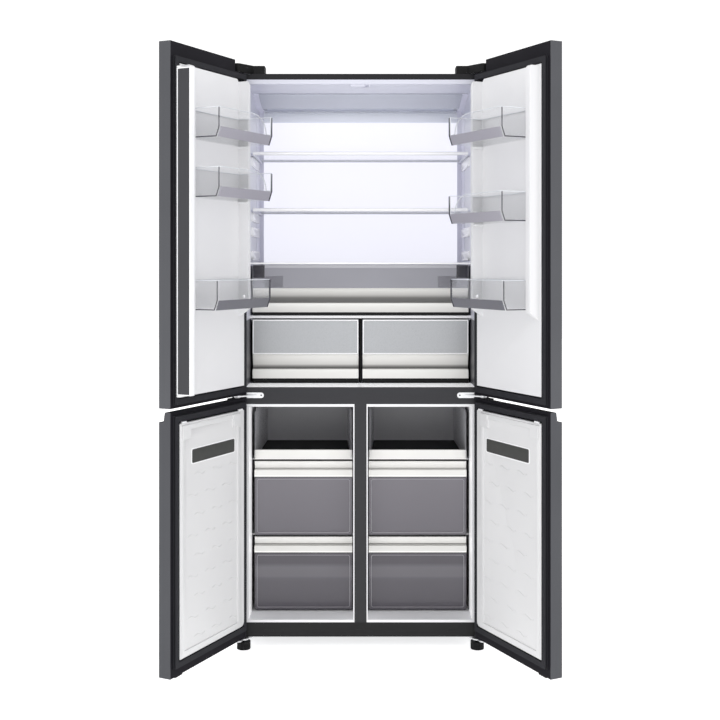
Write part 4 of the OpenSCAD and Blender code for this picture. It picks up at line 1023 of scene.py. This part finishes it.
class REFRIGERATOR_OT_walls(bpy.types.Operator):
    """Build the embossed shelf ribs and the sheets of painted shade on the fridge's side walls"""
    bl_idname = "refrigerator.walls"
    bl_label = "Wall Ribs and Painted Shade"

    def execute(self, context):
        sizes = context.scene.refrigerator_sizes
        look = "cabinet", "white_liner"
        shelf_low, shelf_high = node_box("upper_shelf")
        middle = (shelf_low.y + shelf_high.y) / 2 - FRONT
        for side, sign in SIDES.items():
            grown(f"shelf_ribs_{side}", "ribs", [put(sign * WALL, middle, z) for z in RIB_LEVELS],
                  "trim_light", *look, Length=0.28, Width=sizes.rib_high, Height=sizes.rib_proud,
                  Turn=heading((0, -sign, 0), (-sign, 0, 0)))
            # Painted shade: a darker strip at the rear of each side wall, lifted by a faint glow of its own
            box_piece(f"rear_wall_shade_strip_{side}",
                      [((sign * WALL, 347, 1203), (sign * (WALL - 1.2), WALL_BACK, 1700))],
                      "wall_shade_and_glow", *look, bevel=0.5)
            # Painted shade: sheets on the walls beside the drawers, deep low down and grey beside the wide
            # drawer
            for name, (y0, z0, z1, key) in SHADE_SHEETS.items():
                box_piece(f"{name}_shade_sheet_{side}",
                          [((sign * WALL, y0, z0), (sign * (WALL - 0.8), WALL_BACK, z1))],
                          key, *look, bevel=0.3)
        return {"FINISHED"}


class REFRIGERATOR_OT_bins(bpy.types.Operator):
    """Build the six door bins with their bands, rims, edges and knobs"""
    bl_idname = "refrigerator.bins"
    bl_label = "Door Bins"

    def execute(self, context):
        wall = context.scene.refrigerator_sizes.bin_wall * 1000
        for side in SIDES:
            for level in BIN_LEVELS:
                build_bin(f"bin_{side}_{level}", door_put(side), wall, level)
        return {"FINISHED"}


# Half widths of the wide drawer's front where its clear middle ends, its faint painted shade and its deep
# painted side shade
FAINT_SHADE_IN, SHADE_IN, SHADE_OUT = 249, 309, 346.5


class REFRIGERATOR_OT_fridge_drawers(bpy.types.Operator):
    """Build the black sheets of painted shadow under the three fridge drawers, the half drawers' border
    lines, and the wide drawer's rim band and sheets of painted shade
    """
    bl_idname = "refrigerator.fridge_drawers"
    bl_label = "Fridge Drawers"

    def execute(self, context):
        for name in ("crisper", "half_left", "half_right"):
            low, high = node_box(name + "_tub")
            front_low, front_high = node_box(name + "_front")
            body = name + "_drawer"
            face = low.y - FRONT
            # Painted shadow: a black sheet in the gap under the drawer's front
            box_piece(name + "_lower_lip",
                      [((low.x + 1, face - 0.4, low.z + 0.3), (high.x - 1, face + 2, front_low.z + 0.3))],
                      "black_plastic", body, "black_plastic")
            if name != "crisper":
                border_piece(name + "_border", (low.x + 1, front_high.z + 1, high.x - 1, high.z - 1),
                             (3, 2), 3, face - 0.8, face + 0.5, facing(),
                             "trim_light", body, "white_plastic", bevel=0.3)
                continue
            swept_piece(name + "_rim_band",
                        round_outline(-SHADE_IN, high.z - 10, SHADE_IN, high.z - 0.5, 1.5),
                        face - 0.8, face + 0.5, facing(), "rim_grey", body, "grey_clear_plastic", bevel=0.4)
            # Painted shade: sheets on the front where the tub's side and rear corner show through
            for part, near, far, z0, z1 in (("side_shade", SHADE_IN, SHADE_OUT, 1150, high.z - 1),
                                            ("faint_side_shade", FAINT_SHADE_IN, SHADE_IN, front_high.z + 2, 1156)):
                box_piece(f"{name}_{part}", [
                    ((sign * near, face - 0.3, z0), (sign * far, face - 0.05, z1)) for sign in SIDES.values()
                ], part, body, "grey_clear_plastic")
        return {"FINISHED"}


class REFRIGERATOR_OT_freezer_drawers(bpy.types.Operator):
    """Build the glowing sheets of painted light on the freezer's walls, the strips, mats, black sheets of
    painted shadow and tapers of the trays, and the rims, glints and sheets of painted shadow of the freezer
    drawers
    """
    bl_idname = "refrigerator.freezer_drawers"
    bl_label = "Freezer Drawers"

    def execute(self, context):
        liner_low, liner_high = node_box("freezer_liners")
        for side, sign in SIDES.items():
            # Painted light: thin glowing white sheets on the freezer's walls near the front, where the walls
            # would fall into shade
            box_piece(f"freezer_wall_glow_{side}", [
                ((sign * x0, 3.5, liner_low.z + 9), (sign * x1, 88, liner_high.z - 9))
                for x0, x1 in ((WALL - 8, WALL - 8.4), (22, 22.4))], "lit_white", "cabinet", "white_liner")
            body = f"tray_{side}"
            low, high = node_box(body)
            face, back = low.y - FRONT, high.y - FRONT
            box_piece(body + "_mat",
                      [((low.x + 4, face + 8, low.z + 2.9), (high.x - 4, back - 4, low.z + 4.2))],
                      "mat", body, "black_plastic", bevel=0.4)
            swept_piece(body + "_strip",
                        round_outline(low.x + 0.5, low.z + 0.5, high.x - 0.5, low.z + 31, 2.5),
                        face - 1.6, face + 0.5, facing(), "moulding_bright", body, "tray_plastic", bevel=0.8)
            # Painted shadow: a black sheet in the gap under the tray's front
            box_piece(body + "_lower_lip",
                      [((low.x + 0.5, face + 4, low.z - 5), (high.x - 0.5, face + 8, low.z + 0.2))],
                      "black_plastic", body, "tray_plastic")
            # The tray narrows to the back: its inner side by more than its outer side
            taper = bmesh.new()
            for front_x, back_x, wall_x in ((29, 46.5, 28.5), (336, 327.5, 336.5)):
                prism(taper, [(sign * front_x, 70), (sign * back_x, back - 3), (sign * wall_x, back - 3)],
                      low.z + 4.4, high.z - 8, put)
            piece(body + "_taper", taper, "tray_plastic", body, "tray_plastic")
            for level in ("middle", "bottom"):
                self.dress_drawer(level, side)
        return {"FINISHED"}

    @staticmethod
    def dress_drawer(level, side):
        """The dark rim and the glint inside it on one drawer, and the black sheet of painted shadow under the
        middle drawers.
        """
        low, high = node_box(f"{level}_{side}_tub")
        handle_low = node_box(f"{level}_{side}_handle")[0]
        face = low.y - FRONT
        body = f"{level}_{side}_drawer"
        for part, key, inset in (("rim", "smoky_line", 0.2), ("glint", "smoky_glint", 8)):
            corners = low.x + inset, low.z + inset, high.x - inset, handle_low.z - max(inset, 1) - 0.5
            border_piece(f"{level}_{side}_{part}", corners, (6, 5), 1.6, face - 0.3, face + 1.0, facing(),
                         key, body, "smoky_plastic")
        if level == "middle":
            # Painted shadow: a black sheet in the gap under the middle drawer
            box_piece(f"{level}_{side}_lower_lip",
                      [((low.x + 2, face + 6, low.z - 5), (high.x - 2, face + 9, low.z + 0.2))],
                      "black_plastic", body, "smoky_plastic")


# Bare plate of the lower doors in the door's own u and z, and how far its outline stands round it
PLATE = (87, 628, 310, 667)
PLATE_RIM, PLATE_RIM_WIDE = 3.5, 3.3
# Rows and columns of the wavy beads, and their spacing
BEAD_ROWS, BEAD_COLUMNS = 9, 3
BEAD_STEP_U, BEAD_STEP_Z, BEAD_OFFSET = 90, 58, 34
# How far the flipper's dark sheet stands off its housing, and stops short of its ends
FACE_PROUD = 0.4
FACE_SHORT = 3


class REFRIGERATOR_OT_doors(bpy.types.Operator):
    """Build the plates, stops, tabs and beads of the lower doors, and the flipper's dark face"""
    bl_idname = "refrigerator.doors"
    bl_label = "Door Liners"

    def execute(self, context):
        for side in SIDES:
            place = door_put(side)
            name = f"lower_{side}"
            body = name + "_door"
            swept_piece(name + "_plate", round_outline(*PLATE, 5), LINER_FACE - 0.5, LINER_FACE + 1.5,
                        facing(place), "plate", body, "black_plastic", bevel=0.5)
            border_piece(name + "_plate_outline", (
                PLATE[0] - PLATE_RIM, PLATE[1] - PLATE_RIM, PLATE[2] + PLATE_RIM, PLATE[3] + PLATE_RIM),
                (7, 5), PLATE_RIM_WIDE, LINER_FACE - 0.5, LINER_FACE + 0.8, facing(place),
                "trim_light", body, "white_liner")
            base = node_box(name + "_frame")[0].z
            box_piece(name + "_door_stop",
                      [((DOOR_WIDE - 62, 20, base - 5), (DOOR_WIDE - 26, 38, base + 0.2))],
                      "black_plastic", body, "door_frame", place=place, bevel=1.0)
            box_piece(name + "_tabs", [
                ((u, LINER_FACE - 6, 746.5), (u + 22, LINER_FACE - 0.5, 751.5)) for u in (36, 334)
            ], "white_plastic", body, "white_liner", place=place, bevel=0.8)
            origin = place(0, 0, 0)
            points = [place(66 + BEAD_STEP_U * column + BEAD_OFFSET * (row % 2), LINER_FACE + 0.1,
                            130 + BEAD_STEP_Z * row)
                      for row in range(BEAD_ROWS) for column in range(BEAD_COLUMNS)]
            grown(name + "_waves", "waves", points, "low_door_liner", body, "white_liner",
                  Length=0.052, Swing=0.004, Bead=0.0009,
                  Turn=heading(place(1, 0, 0) - origin, place(0, 1, 0) - origin))
        # The flipper's dark face runs nearly the whole height of its housing
        sheet = node_mesh("flipper_face")
        low, high = node_box("flipper_housing")
        place = door_put("left")
        outward = place(FACE_PROUD, 0, 0) - place(0, 0, 0)
        for vertex in sheet.verts:
            upper = vertex.co.z > (low.z + high.z) / 2000
            vertex.co.z = (high.z - FACE_SHORT if upper else low.z + FACE_SHORT) / 1000
            vertex.co += outward
        piece("flipper_face_sheet", sheet, "flipper_metal", "flipper", "dark_metal", "flipper_face")
        return {"FINISHED"}


OPERATORS = (
    REFRIGERATOR_OT_stage, REFRIGERATOR_OT_finishes, REFRIGERATOR_OT_lamp, REFRIGERATOR_OT_shelves,
    REFRIGERATOR_OT_cover, REFRIGERATOR_OT_walls, REFRIGERATOR_OT_bins, REFRIGERATOR_OT_fridge_drawers,
    REFRIGERATOR_OT_freezer_drawers, REFRIGERATOR_OT_doors,
)


class REFRIGERATOR_PT_panel(bpy.types.Panel):
    """Lists the sizes, the colours and every step of the refrigerator"""
    bl_label = "Refrigerator"
    bl_idname = "REFRIGERATOR_PT_panel"
    bl_space_type = "VIEW_3D"
    bl_region_type = "UI"
    bl_category = "Refrigerator"

    def draw(self, context):
        for group in (context.scene.refrigerator_sizes, context.scene.refrigerator_colours):
            box = self.layout.box()
            for name in group.__annotations__:
                box.prop(group, name)
        for kind in OPERATORS:
            self.layout.operator(kind.bl_idname)


CLASSES = (REFRIGERATOR_PG_sizes, REFRIGERATOR_PG_colours, *OPERATORS, REFRIGERATOR_PT_panel)


def register():
    for kind in CLASSES:
        bpy.utils.register_class(kind)
    bpy.types.Scene.refrigerator_sizes = PointerProperty(type=REFRIGERATOR_PG_sizes)
    bpy.types.Scene.refrigerator_colours = PointerProperty(type=REFRIGERATOR_PG_colours)


def unregister():
    del bpy.types.Scene.refrigerator_sizes
    del bpy.types.Scene.refrigerator_colours
    for kind in reversed(CLASSES):
        bpy.utils.unregister_class(kind)


def main():
    """Registers the add-on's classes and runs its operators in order."""
    register()
    for kind in OPERATORS:
        group, name = kind.bl_idname.split(".")
        getattr(getattr(bpy.ops, group), name)()


if __name__ == "__main__":
    main()
